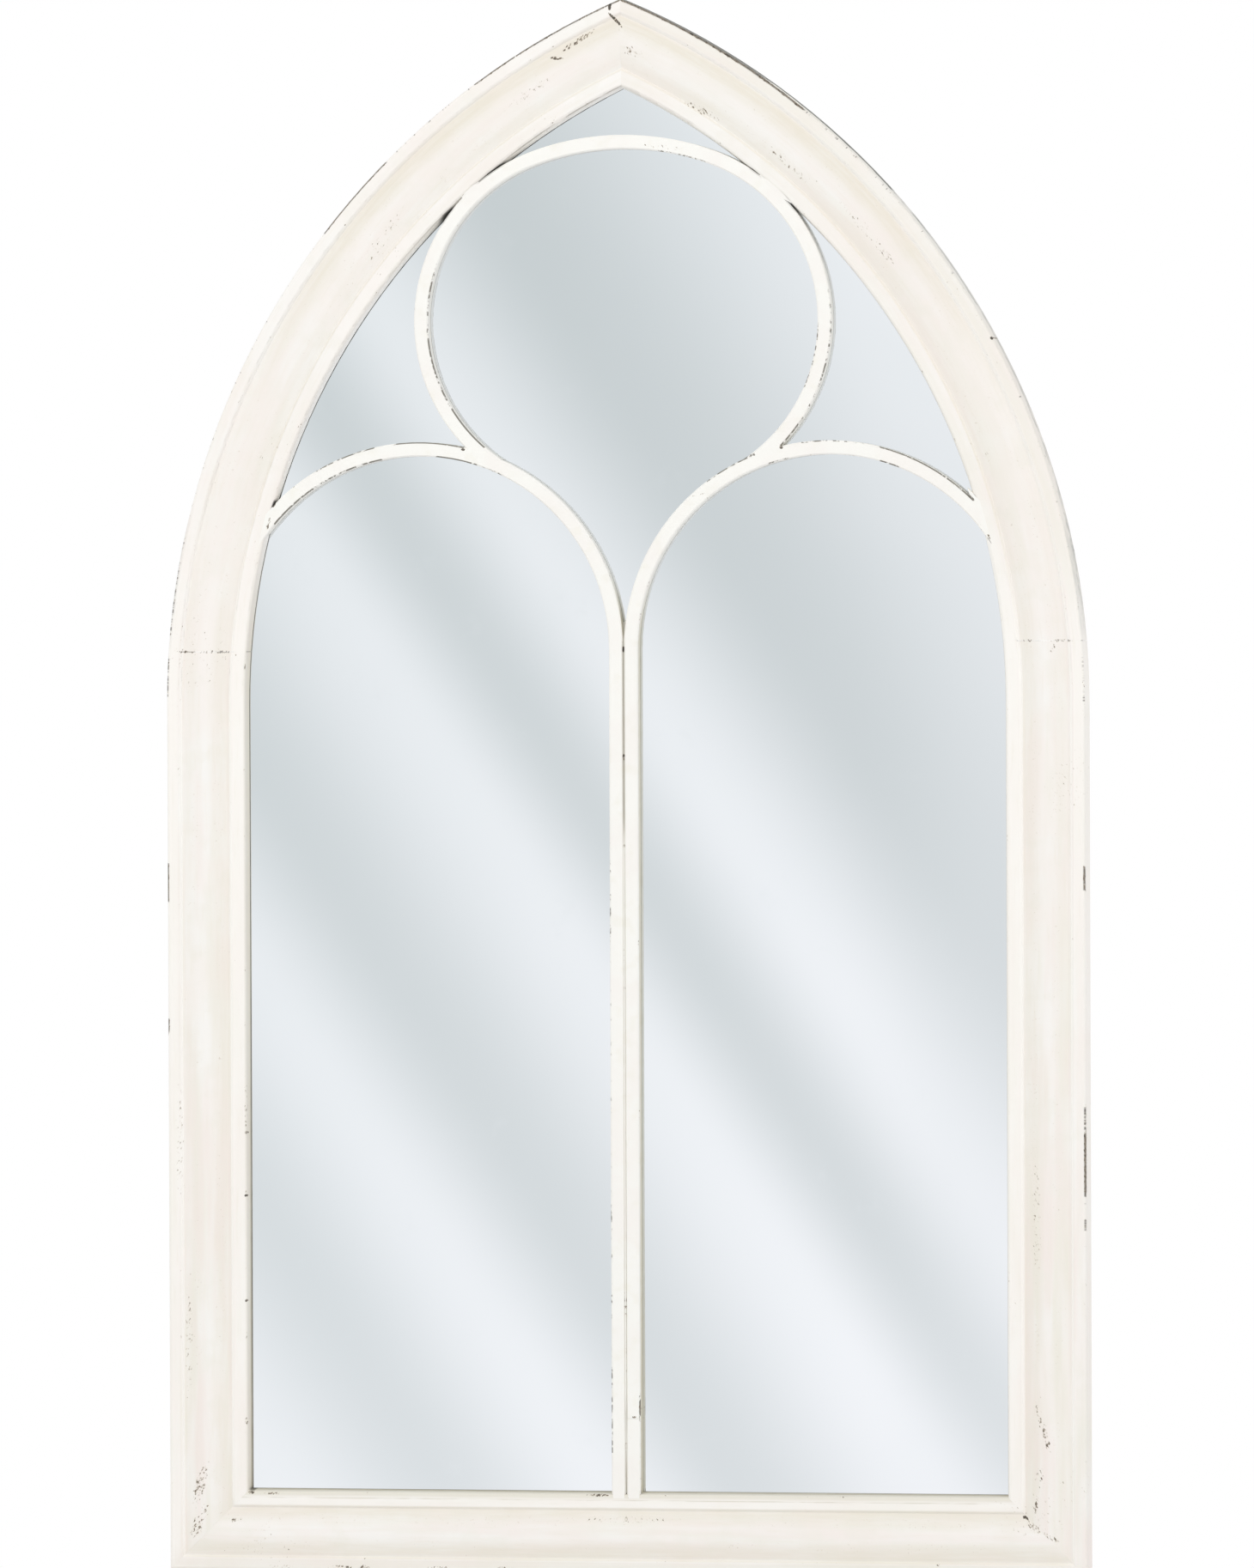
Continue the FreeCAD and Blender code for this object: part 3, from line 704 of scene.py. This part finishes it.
def tracery_paint():
    """The bars' ivory paint, chipped along their edges, with painted yellow-brown shade on their
    sides.
    """
    material, n = new_material("tracery_paint")
    spot = n.spot()
    x, y, z = n.parts(spot)
    facing_y = n.facing_y()

    # Distance from the bars' centre lines
    beside = n.minus(n.absolute(x), light_axis)
    above = n.most(n.minus(z, light_spring), 0.0)
    from_light = n.minus(n.distance(beside, above), light_radius)
    ring_x = n.minus(n.absolute(x), ring_stretch)
    ring_z = n.minus(z, ring_height)
    from_side = n.minus(n.distance(ring_x, ring_z), ring_radius)
    crown_z = n.minus(z, crown_height)
    from_crown = n.minus(n.distance(x, crown_z), crown_radius)
    crown_edge = n.times(crown_z, math.tan(crown_half_angle))
    in_crown = n.math("LESS_THAN", n.absolute(x), crown_edge)
    from_ring = n.blend(in_crown, from_side, from_crown)
    right = n.math("GREATER_THAN", x, 0.0)
    left = n.opposite(right)
    ring_turn = n.math("DEGREES", n.math("ARCTAN2", ring_z, ring_x))
    light_turn = n.math("DEGREES", n.math("ARCTAN2", above, beside))
    measures = {
        "light": (from_light, light_turn),
        "ring": (from_ring, ring_turn),
        "mullion": (from_light, z),
    }
    at_front = n.ease(y, 2.0 - bar_front, 1.0 - bar_front)
    stretches = []
    edges = []
    for bar, side, edge, start, end, strength in worn_bar_edges:
        away, place = measures[bar]
        on_edge = n.near(away, edge * bar_half, 1.5)
        here = n.times(n.between(place, start, end, bar_zone_soft), right if side > 0 else left)
        stretches.append(n.times(here, strength))
        edges.append(n.times(here, on_edge))
    stretch = n.most(*stretches)
    edge = n.times(n.most(*edges), at_front)
    light_edge = n.near(n.absolute(from_light), bar_half, 1.2)
    ring_edge = n.near(n.absolute(from_ring), bar_half, 1.2)
    any_edge = n.times(n.most(light_edge, ring_edge), at_front)

    # Paint
    broad = n.noise(spot, 0.025, 3.0, 0.55)
    patchy = n.noise(spot, 0.09)
    paint = n.mix(n.ease(broad, 0.4, 0.62), bar_cool, bar_warm)
    paint = n.mix(n.times(n.ease(patchy, 0.52, 0.75), 0.4), paint, bar_patch)
    # Sides: painted yellow-brown shade, deeper towards the glass, on the straight parts and towards
    # the foot, with painted light on the arched parts
    side = n.ease(n.absolute(facing_y), 0.6, 0.3)
    deep = n.ease(y, 0.8 - bar_front, 8.8 - bar_front)
    wall = n.mix(deep, bar_side_front, bar_side_deep_shade)
    arched = n.ease(z, light_spring, light_spring + 60.0)
    shading = n.scaled(arched, -0.8, 1.0)
    wall = n.mix(n.times(arched, 0.8), wall, bar_side_lit)
    wall = n.mix(n.times(n.ease(patchy, 0.45, 0.7), 0.35, shading), wall, bar_side_patch)
    at_glass = n.ease(y, 8.8 - bar_front, 9.8 - bar_front)
    wall = n.mix(n.times(at_glass, 0.45, shading), wall, bar_side_foot_shade)
    towards_foot = n.ease(z, bottom + 330.0, bottom + 90.0)
    khaki_shade = n.total(n.times(towards_foot, 0.3), n.times(shading, 0.2))
    wall = n.mix(khaki_shade, wall, bar_khaki_shade)
    paint = n.mix(side, paint, wall)

    # Painted grey shade in the groove between the mullion's bars, faint in the middle of its length
    in_gap = n.ease(n.absolute(x), 1.5, 0.5)
    groove = n.times(in_gap, n.ease(z, light_spring + 9.0, light_spring))
    below_lights = n.ease(z, light_spring - 110.0, light_spring - 160.0)
    plain = n.times(n.ease(z, splice, splice + 20.0), below_lights)
    bottom_end = n.ease(z, splice + 20.0, splice)
    groove_shade_depth = n.total(0.55, n.times(plain, -0.52), n.times(bottom_end, -0.25))
    paint = n.mix(n.times(groove, groove_shade_depth), paint, groove_shade_grey)

    # Wear: thin bare lines on the edges, then chips
    dash = n.ease(n.noise(spot, 0.06, 3.0, 0.6), 0.46, 0.66)
    ragged = n.noise(spot, 0.24, 3.0, 0.7)
    bare_line = n.ease(n.scaled(stretch, 0.46, ragged), 0.7, 0.82)
    paint = n.mix(n.times(n.ease(edge, 0.1, 0.6), bare_line, 0.85), paint, bare_bar)
    edge_worn = n.times(any_edge, n.total(n.times(dash, 0.5), 0.1))
    worn = n.most(edge_worn, marks(n, spot, bar_marks), n.times(dash, 0.2))
    paint, chip = chipped(n, spot, worn, paint)
    # Grime and painted shade on the sides of narrow gaps
    paint = n.mix(n.times(dirt_and_shade(n, spot, bar_dirt_shade, facing_y), 0.9), paint, gap_dirt_shade)

    back = n.ease(facing_y, 0.3, 0.5)
    colour = n.mix(back, paint, bar_back)
    grain = n.noise(spot, 0.6, 3.0, 0.6)
    roughness = n.total(0.44, n.times(grain, 0.14), n.times(chip, 0.14))
    height = n.total(n.times(grain, 0.5), n.times(chip, -0.8))
    n.surface(colour, roughness, height=height, depth=0.12)
    return material


def mirror_silver():
    """Silvered glass: bright in front, ground green at its edges and painted grey at the back."""
    material, n = new_material("mirror_silver")
    spot = n.spot()
    facing_y = n.facing_y()
    front = n.ease(facing_y, -0.8, -0.95)
    behind = n.ease(facing_y, 0.8, 0.95)
    cloud = n.noise(spot, 0.012)
    silver = n.mix(cloud, silver_dim, silver_bright)
    ground = n.mix(n.noise(spot, 0.9, 2.0, 0.6), glass_edge_dark, glass_edge_pale)
    backing = n.mix(n.noise(spot, 0.08, 3.0, 0.6), glass_back_dark, glass_back_pale)
    colour = n.mix(front, n.mix(behind, ground, backing), silver)
    smear = n.noise(spot, 0.03, 4.0, 0.65)
    polish = n.scaled(n.ease(smear, 0.55, 0.8), 0.02, 0.012)
    roughness = n.blend(front, 0.55, polish)
    n.surface(colour, roughness, metallic=front)
    return material


wire_pitch = 1.6  # of the mesh print on the board's rough side


def hardboard():
    """Brown pressed board: fibres, a darker mottle and the mesh print of its rough side."""
    material, n = new_material("hardboard")
    spot = n.spot()
    x, _, z = n.parts(spot)
    fibre = n.noise(n.vector("MULTIPLY", spot, (0.25, 1.0, 1.1)), 1.0, 4.0, 0.65)
    mottle = n.noise(spot, 0.03, 3.0, 0.6)
    wires_x = n.math("SINE", n.times(x, 2 * math.pi / wire_pitch))
    wires_z = n.math("SINE", n.times(z, 2 * math.pi / wire_pitch))
    mesh = n.times(wires_x, wires_z)
    colour = n.mix(n.ease(fibre, 0.35, 0.7), board_brown, board_fibre)
    colour = n.mix(n.times(n.ease(mottle, 0.35, 0.75), 0.34), colour, board_mottle)
    colour = n.mix(n.times(n.ease(mesh, 0.2, 0.9), 0.18), colour, board_mesh)
    height = n.total(n.times(fibre, 0.5), n.times(mesh, 0.25))
    n.surface(colour, n.scaled(fibre, 0.2, 0.68), height=height, depth=0.25)
    return material


def primed_steel():
    """Plates with grey primer, rubbed bright in streaks and rusting a little."""
    material, n = new_material("primed_steel")
    spot = n.spot()
    mottle = n.noise(spot, 0.05, 3.0, 0.6)
    grain = n.noise(spot, 0.9, 3.0, 0.6)
    colour = n.mix(n.ease(mottle, 0.35, 0.65), steel_dark, steel_pale)
    rust = n.times(n.ease(n.noise(spot, 0.11, 4.0, 0.7), 0.6, 0.72), 0.7)
    colour = n.mix(rust, colour, steel_rust)
    rubs = n.noise(n.vector("MULTIPLY", spot, (0.5, 0.5, 0.06)), 1.0, 3.0, 0.6)
    rubbed = n.ease(rubs, 0.62, 0.72)
    colour = n.mix(n.times(rubbed, 0.5), colour, steel_rubbed)
    roughness = n.total(0.42, n.times(grain, 0.2), n.times(rust, 0.2))
    n.surface(colour, roughness, metallic=0.25, height=grain, depth=0.08)
    return material


def zinc_plate():
    """Zinc-plated fittings: a fine brushed grain, faint yellow and blue tints, dull spots."""
    material, n = new_material("zinc_plate")
    spot = n.spot()
    tint = n.noise(spot, 0.12)
    brushed = n.noise(n.vector("MULTIPLY", spot, (0.4, 3.0, 3.0)), 1.0, 3.0, 0.6)
    colour = n.mix(n.ease(tint, 0.35, 0.65), zinc_blue, zinc_yellow)
    dull = n.ease(n.noise(spot, 0.5, 4.0, 0.7), 0.58, 0.72)
    colour = n.mix(n.times(dull, 0.45), colour, zinc_dull)
    roughness = n.total(0.26, n.times(brushed, 0.16), n.times(dull, 0.2))
    n.surface(colour, roughness, metallic=0.92, height=brushed, depth=0.03)
    return material


def wool_felt():
    """Dark felt pads with matted fibres and a soft sheen."""
    material, n = new_material("wool_felt")
    spot = n.spot()
    fibre = n.noise(spot, 1.6, 5.0, 0.75)
    clump = n.noise(spot, 0.4)
    colour = n.mix(n.ease(fibre, 0.3, 0.7), felt_dark, felt_fibre)
    colour = n.mix(n.times(n.ease(clump, 0.5, 0.7), 0.4), colour, felt_clump)
    height = n.total(n.times(fibre, 0.8), n.times(clump, 0.4))
    n.surface(colour, 0.92, height=height, depth=0.5, Sheen_Weight=0.35, Sheen_Roughness=0.5)
    return material


paint_on_frame = frame_paint()
paint_on_bars = tracery_paint()
silver = mirror_silver()
board = hardboard()
primer_plate = primed_steel()
zinc = zinc_plate()
felt = wool_felt()

finish_of = {
    "bottom_rail": paint_on_frame,
    "left_stile": paint_on_frame,
    "right_stile": paint_on_frame,
    "left_arch": paint_on_frame,
    "right_arch": paint_on_frame,
    "left_light_bar": paint_on_bars,
    "right_light_bar": paint_on_bars,
    "right_bar_foot": paint_on_bars,
    "ring_bar": paint_on_bars,
    "mirror_glass": silver,
    "backing_board": board,
    "wall_pads": felt,
}
for name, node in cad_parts.items():
    finish = finish_of.get(name)
    if finish is None:
        finish = primer_plate if name.endswith("_plate") else zinc
    for slot in node.material_slots:
        slot.material = finish


def between(ends, share):
    """The value at a share of the way from one end to the other."""
    return ends[0] + (ends[1] - ends[0]) * share


def smooth_share(value):
    """0 to 1, eased at both ends."""
    value = min(max(value, 0.0), 1.0)
    return value * value * (3 - 2 * value)


def grid_squares(rows, columns):
    """The faces of a grid of points that are listed row by row."""
    squares = []
    for row in range(rows - 1):
        for column in range(columns - 1):
            corner = row * columns + column
            squares.append((corner, corner + 1, corner + columns + 1, corner + columns))
    return squares


def paint_fill(
    name, place, run, fronts, ease_length, drop=1.8, sink=21.5, rows=25, columns=9, on_bars=True
):
    """A low fill of weld and paint over the groove where a piece meets its neighbour.

    place(along, part) gives x and z, with part from 0 to 1 across the joint.  run is the fill's
    ends along the joint, and fronts are its face's heights at its two long sides.  The face falls
    by drop over ease_length at its ends, and the foot lies at sink.
    """
    length = math.dist(place(run[0], 0.5), place(run[1], 0.5))
    points = []
    for layer in ("face", "foot"):
        for row in range(rows):
            share = row / (rows - 1)
            along = between(run, share)
            from_end = min(share, 1 - share) * length
            fall = drop * (1 - smooth_share(from_end / ease_length))
            for column in range(columns):
                part = column / (columns - 1)
                x, z = place(along, part)
                front = between(fronts, smooth_share(part)) - fall
                depth = front if layer == "face" else sink
                points.append((x * MM, -depth * MM, z * MM))
    foot = rows * columns
    faces = []
    for square in grid_squares(rows, columns):
        faces.append(square)
        faces.append(tuple(foot + index for index in reversed(square)))
    rim = list(range(columns))
    rim += [row * columns + columns - 1 for row in range(1, rows)]
    rim += [foot - 2 - step for step in range(columns - 1)]
    rim += [row * columns for row in range(rows - 2, 0, -1)]
    for first, second in zip(rim, rim[1:] + rim[:1]):
        faces.append((second, first, foot + first, foot + second))
    mesh = bpy.data.meshes.new(name)
    mesh.from_pydata(points, [], faces)
    shape = bmesh.new()
    shape.from_mesh(mesh)
    bmesh.ops.recalc_face_normals(shape, faces=shape.faces)
    shape.to_mesh(mesh)
    shape.free()
    piece = bpy.data.objects.new(name, mesh)
    scene.collection.objects.link(piece)
    mesh.materials.append(paint_on_bars if on_bars else paint_on_frame)
    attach(piece, "frame")


def corner_angle(near_side, far_side, opposite):
    """The angle between two sides of a triangle."""
    return math.acos((near_side**2 + far_side**2 - opposite**2) / (2 * near_side * far_side))


def over_rail(along, part):
    """Places over the bottom rail's inner edge, at x."""
    return along, bottom + between(fill_reach, part)


def on_arch(side, run):
    """Places over the inner edge of the frame's arch, at an angle about its centre.

    The fill narrows to the edge at both ends.
    """

    def place(angle, part):
        share = (angle - run[0]) / (run[1] - run[0])
        width = smooth_share(min(share, 1 - share) * 3.0)
        narrowed = [between((tip, full), width) for tip, full in zip(shoulder_tip, shoulder_reach)]
        radius = arch_radius - between(narrowed, part)
        x = side * (radius * math.cos(angle) - arch_offset)
        return x, spring + radius * math.sin(angle)

    return place


def on_light_foot(side):
    """Places where a light arch runs out on the frame, at a distance from the bar's centre line."""

    def place(away, part):
        radius = arch_radius - between(fill_reach, part)
        angle = light_bearing + corner_angle(radius, light_away, light_radius + away)
        x = side * (radius * math.cos(angle) - arch_offset)
        return x, spring + radius * math.sin(angle)

    return place


def on_ring_foot(side):
    """Places where the ring runs out on a light arch, at an angle about the light's centre.

    The fill narrows towards the ring's thin end.
    """

    def place(angle, part):
        share = (angle - foot_run[0]) / (foot_run[1] - foot_run[0])
        outside = between((-foot_overlap, foot_width * (1 - share)), part)
        radius = light_radius + bar_half + outside
        x = side * (light_axis + radius * math.cos(angle))
        return x, light_spring + radius * math.sin(angle)

    return place


def on_seam(side, height):
    """Places over a seam of the frame, at a distance from the frame's outer edge."""

    def place(across, part):
        z = height + between((-seam_cover, seam_cover), part)
        return side * (math.sqrt((arch_radius - across) ** 2 - (z - spring) ** 2) - arch_offset), z

    return place


def in_mullion_gap(height, part):
    """Places in the gap between the mullion's two bars, which widens where they part."""
    above = max(height - light_spring, 0.0)
    half_gap = light_axis - math.sqrt(light_outside**2 - above**2)
    return between((-half_gap, half_gap), part), height


# Reaches across the moulding, heights of faces above the back, and runs along the joints
skin = 0.02  # how far a fill stands proud
seam_skin = 0.03  # a seam's fill over the inner band, or under the outer one
fill_reach = (53.3, 59.0)
shoulder_reach = (55.3, 58.6)
shoulder_tip = (55.8, 56.6)
fill_fronts = (band_front + skin, bar_front + skin)
bar_fronts = (bar_front + skin,) * 2
gap_fronts = (bar_front - 1.5,) * 2
gap_run = (bottom + band_end + 1.0, light_spring + 19.0)
flush_fronts = (bar_front - 0.2,) * 2
flush_run = (bottom + band_end + 1.0, light_spring - 100.0)
seam_cover = 0.8
seam_fronts = (band_front + seam_skin,) * 2
seam_run = (band_start + 0.8, band_end - 0.6)
outer_seam_fronts = (outer_front - seam_skin,) * 2
outer_seam_run = (0.9, outer_band - 1.0)
light_foot_top = {"left": bar_half, "right": bar_half + 3.5}
light_x = light_axis + arch_offset
light_z = light_spring - spring
light_away = math.hypot(light_x, light_z)
light_bearing = math.atan2(light_z, light_x)
shoulder = math.atan2(ring_height - spring, ring_stretch + arch_offset)
shoulder_runs = {
    "left": (shoulder - 0.026, shoulder + 0.008),
    "right": (shoulder - 0.044, shoulder + 0.018),
}
ring_bearing = math.atan2(ring_height - light_spring, ring_stretch - light_axis)
ring_away = math.hypot(ring_height - light_spring, ring_stretch - light_axis)
light_outside = light_radius + bar_half
ring_outer = corner_angle(light_outside, ring_away, ring_radius + bar_half)
ring_inner = corner_angle(light_outside, ring_away, ring_radius - bar_half)
foot_run = (ring_bearing - ring_outer - 0.006, ring_bearing - ring_inner)
foot_overlap = 1.5
foot_width = 1.8
foot_easing = 0.9
gap_sizes = dict(ease_length=16.0, drop=7.6, sink=14.5, rows=160, columns=3)
flush_sizes = dict(ease_length=70.0, drop=1.6, sink=20.0, rows=120, columns=3)
seam_sizes = dict(ease_length=1.5, drop=0.5, columns=5, on_bars=False)
outer_seam_sizes = dict(ease_length=0.8, drop=0.3, sink=27.0, columns=5, on_bars=False)

paint_fill("mullion_gap_fill", in_mullion_gap, gap_run, gap_fronts, **gap_sizes)
paint_fill("mullion_flush_fill", in_mullion_gap, flush_run, flush_fronts, **flush_sizes)
for name, side in (("left", -1), ("right", 1)):
    ends = sorted((side * (mullion_axis - bar_half), side * (mullion_axis + bar_half)))
    paint_fill(name + "_bar_foot_fill", over_rail, ends, fill_fronts, foot_easing)
    ends = (-bar_half, light_foot_top[name])
    paint_fill(name + "_light_foot_fill", on_light_foot(side), ends, fill_fronts, foot_easing)
    run = shoulder_runs[name]
    shoulder_name = name + "_ring_shoulder_fill"
    paint_fill(shoulder_name, on_arch(side, run), run, fill_fronts, ease_length=5.0, drop=0.8)
    paint_fill(name + "_ring_foot_fill", on_ring_foot(side), foot_run, bar_fronts, ease_length=3.0)
    seam_place = on_seam(side, left_seam if side < 0 else right_seam)
    paint_fill(name + "_seam_fill", seam_place, seam_run, seam_fronts, **seam_sizes)
    outer_name = name + "_outer_seam_fill"
    paint_fill(outer_name, seam_place, outer_seam_run, outer_seam_fronts, **outer_seam_sizes)


# Camera
view_turn = math.radians(10.0)
view_rise = math.radians(1.0)
view_roll = math.radians(-0.21)
view_distance = 9000.0
pixels_per_mm = 1.6426
picture_height = 1826.0
picture_width = 1460.0
sensor = 36.0
target = Vector((1.55, -20.0, bottom + 560.05)) * MM
pixels_to_focus = pixels_per_mm * view_distance

beside = math.sin(view_turn) * math.cos(view_rise)
before = math.cos(view_turn) * math.cos(view_rise)
back = Vector((beside, -before, math.sin(view_rise)))
level = Vector((math.cos(view_turn), math.sin(view_turn), 0.0))
upright = back.cross(level)
across_view = level * math.cos(view_roll) + upright * math.sin(view_roll)
up_view = back.cross(across_view)
lens = bpy.data.cameras.new("camera")
lens.sensor_width = sensor
lens.lens = pixels_to_focus * sensor / picture_height
lens.clip_end = 100.0
camera = bpy.data.objects.new("camera", lens)
camera.matrix_world = Matrix.Translation(target + back * view_distance * MM) @ Matrix(
    (across_view, up_view, back)
).transposed().to_4x4()
scene.collection.objects.link(camera)
scene.camera = camera

# Surroundings: soft light all round, white behind the object, and slanting bands in what the
# mirror shows.  A band is a place in picture pixels, with its share of the brightness.
white = (1.0, 1.0, 1.0, 1.0)
ambient = 0.69
band_slope = math.radians(56.0)
band_shift = 94.7
light_band = 1.02
dark_band = 0.77
dark_tint = (0.97, 1.005, 1.0)
surround_slope = (0.118, 0.094, 0.1)  # how much brighter red, green, blue are to the lower right
band_fade = 0.32  # how much weaker the bands are towards the right
band_fade_run = (0.17, 0.29)  # from the picture's middle, in picture widths
bands = (
    (-680, 1),
    (-345, 0),
    (-165, 1),
    (-45, 0.15),
    (60, 1),
    (255, 0.2),
    (385, 1),
    (535, 0.35),
    (700, 1),
)
band_first = bands[0][0]
band_period = bands[-1][0] - band_first


def mirrored(direction):
    """The direction as the pane turns it round."""
    return Vector((direction.x, -direction.y, direction.z))


world = bpy.data.worlds.new("surroundings")
scene.world = world
world.use_nodes = True
n = Nodes(world.node_tree)
ray = n.vector("NORMALIZE", n.add("TexCoord").outputs["Generated"])
band_axis = mirrored(across_view) * math.sin(band_slope) + mirrored(up_view) * math.cos(band_slope)
band_place = n.vector("DOT_PRODUCT", ray, tuple(-pixels_to_focus * band_axis))
band_share = n.math("DIVIDE", n.minus(band_place, band_shift + band_first), band_period)
ramp = n.add("ValToRGB", n.math("FRACT", band_share))
ramp.color_ramp.interpolation = "EASE"
stops = ramp.color_ramp.elements
for place, _ in bands[1:-1]:
    stops.new((place - band_first) / band_period)
for stop, (_, share) in zip(stops, bands):
    brightness = between((dark_band, light_band), share)
    stop.color = (*(brightness * between((level, 1), share) for level in dark_tint), 1.0)
side_axis = mirrored(across_view) / picture_width
slope_axis = side_axis - mirrored(up_view) / picture_height
slope_place = n.vector("DOT_PRODUCT", ray, tuple(pixels_to_focus * slope_axis))
slopes = []
for part in surround_slope:
    slope = n.add("MapRange", slope_place, -1.0, 1.0, 1 - part, 1 + part)
    slopes.append(slope.outputs[0])
side_place = n.vector("DOT_PRODUCT", ray, tuple(pixels_to_focus * side_axis))
fade = n.times(n.ease(side_place, *band_fade_run), band_fade)
middle = [(light_band + dark_band * level) / 2 for level in dark_tint]
faded = n.mix(fade, ramp.outputs[0], (*middle, 1.0))
reflected = n.vector("MULTIPLY", faded, n.combine(*slopes))
glossy = n.add("LightPath").outputs["Is Glossy Ray"]
shown = n.mix(glossy, (ambient, ambient, ambient, 1.0), reflected)
shown = n.mix(n.seen(), shown, white)
n.add("OutputWorld", n.add("Background", shown, 1.0).outputs[0])

# Floor below the hanging mirror
floor_drop = 150.0
floor_sides = (-3200.0, 3200.0)
floor_ends = (-4200.0, 1600.0)
floor_steps = 8
floor_pales = ((0.93, 0.93, 0.93, 1.0), (0.95, 0.95, 0.95, 1.0))
floor_glow = 0.5  # share of plain white in what the camera sees of the floor
floor_points = []
for row in range(floor_steps + 1):
    depth = between(floor_ends, row / floor_steps)
    for column in range(floor_steps + 1):
        sideways = between(floor_sides, column / floor_steps)
        floor_points.append((sideways * MM, depth * MM, (bottom - floor_drop) * MM))
floor_mesh = bpy.data.meshes.new("floor")
floor_mesh.from_pydata(floor_points, [], grid_squares(floor_steps + 1, floor_steps + 1))
floor = bpy.data.objects.new("floor", floor_mesh)
scene.collection.objects.link(floor)
floor.visible_glossy = False

floor_material, n = new_material("floor_white")
mottle = n.noise(n.add("TexCoord").outputs["Object"], 3.0)
pale = n.mix(mottle, *floor_pales)
matt = n.add("BsdfDiffuse", pale)
lit = n.add("Emission", white, 1.0)
mixed = n.add("MixShader", n.times(n.seen(), floor_glow), matt.outputs[0], lit.outputs[0])
n.add("OutputMaterial", mixed.outputs[0])
floor_mesh.materials.append(floor_material)


def soft_lamp(name, azimuth, elevation, distance, size, energy):
    """A square lamp that looks at the middle of the object.  Distance and size are in metres."""
    turn = math.radians(azimuth)
    rise = math.radians(elevation)
    level_share = math.cos(rise)
    away = Vector((math.sin(turn) * level_share, -math.cos(turn) * level_share, math.sin(rise)))
    light = bpy.data.lights.new(name, "AREA")
    light.shape = "SQUARE"
    light.size = size
    light.energy = energy
    lamp = bpy.data.objects.new(name, light)
    lamp.location = target + away * distance
    lamp.rotation_mode = "QUATERNION"
    lamp.rotation_quaternion = away.to_track_quat("Z", "Y")
    lamp.visible_glossy = False
    scene.collection.objects.link(lamp)


soft_lamp("key", azimuth=-32.0, elevation=42.0, distance=4.5, size=2.4, energy=55.0)
soft_lamp("fill", azimuth=62.0, elevation=14.0, distance=5.0, size=2.4, energy=40.0)

scene.view_settings.view_transform = "Standard"
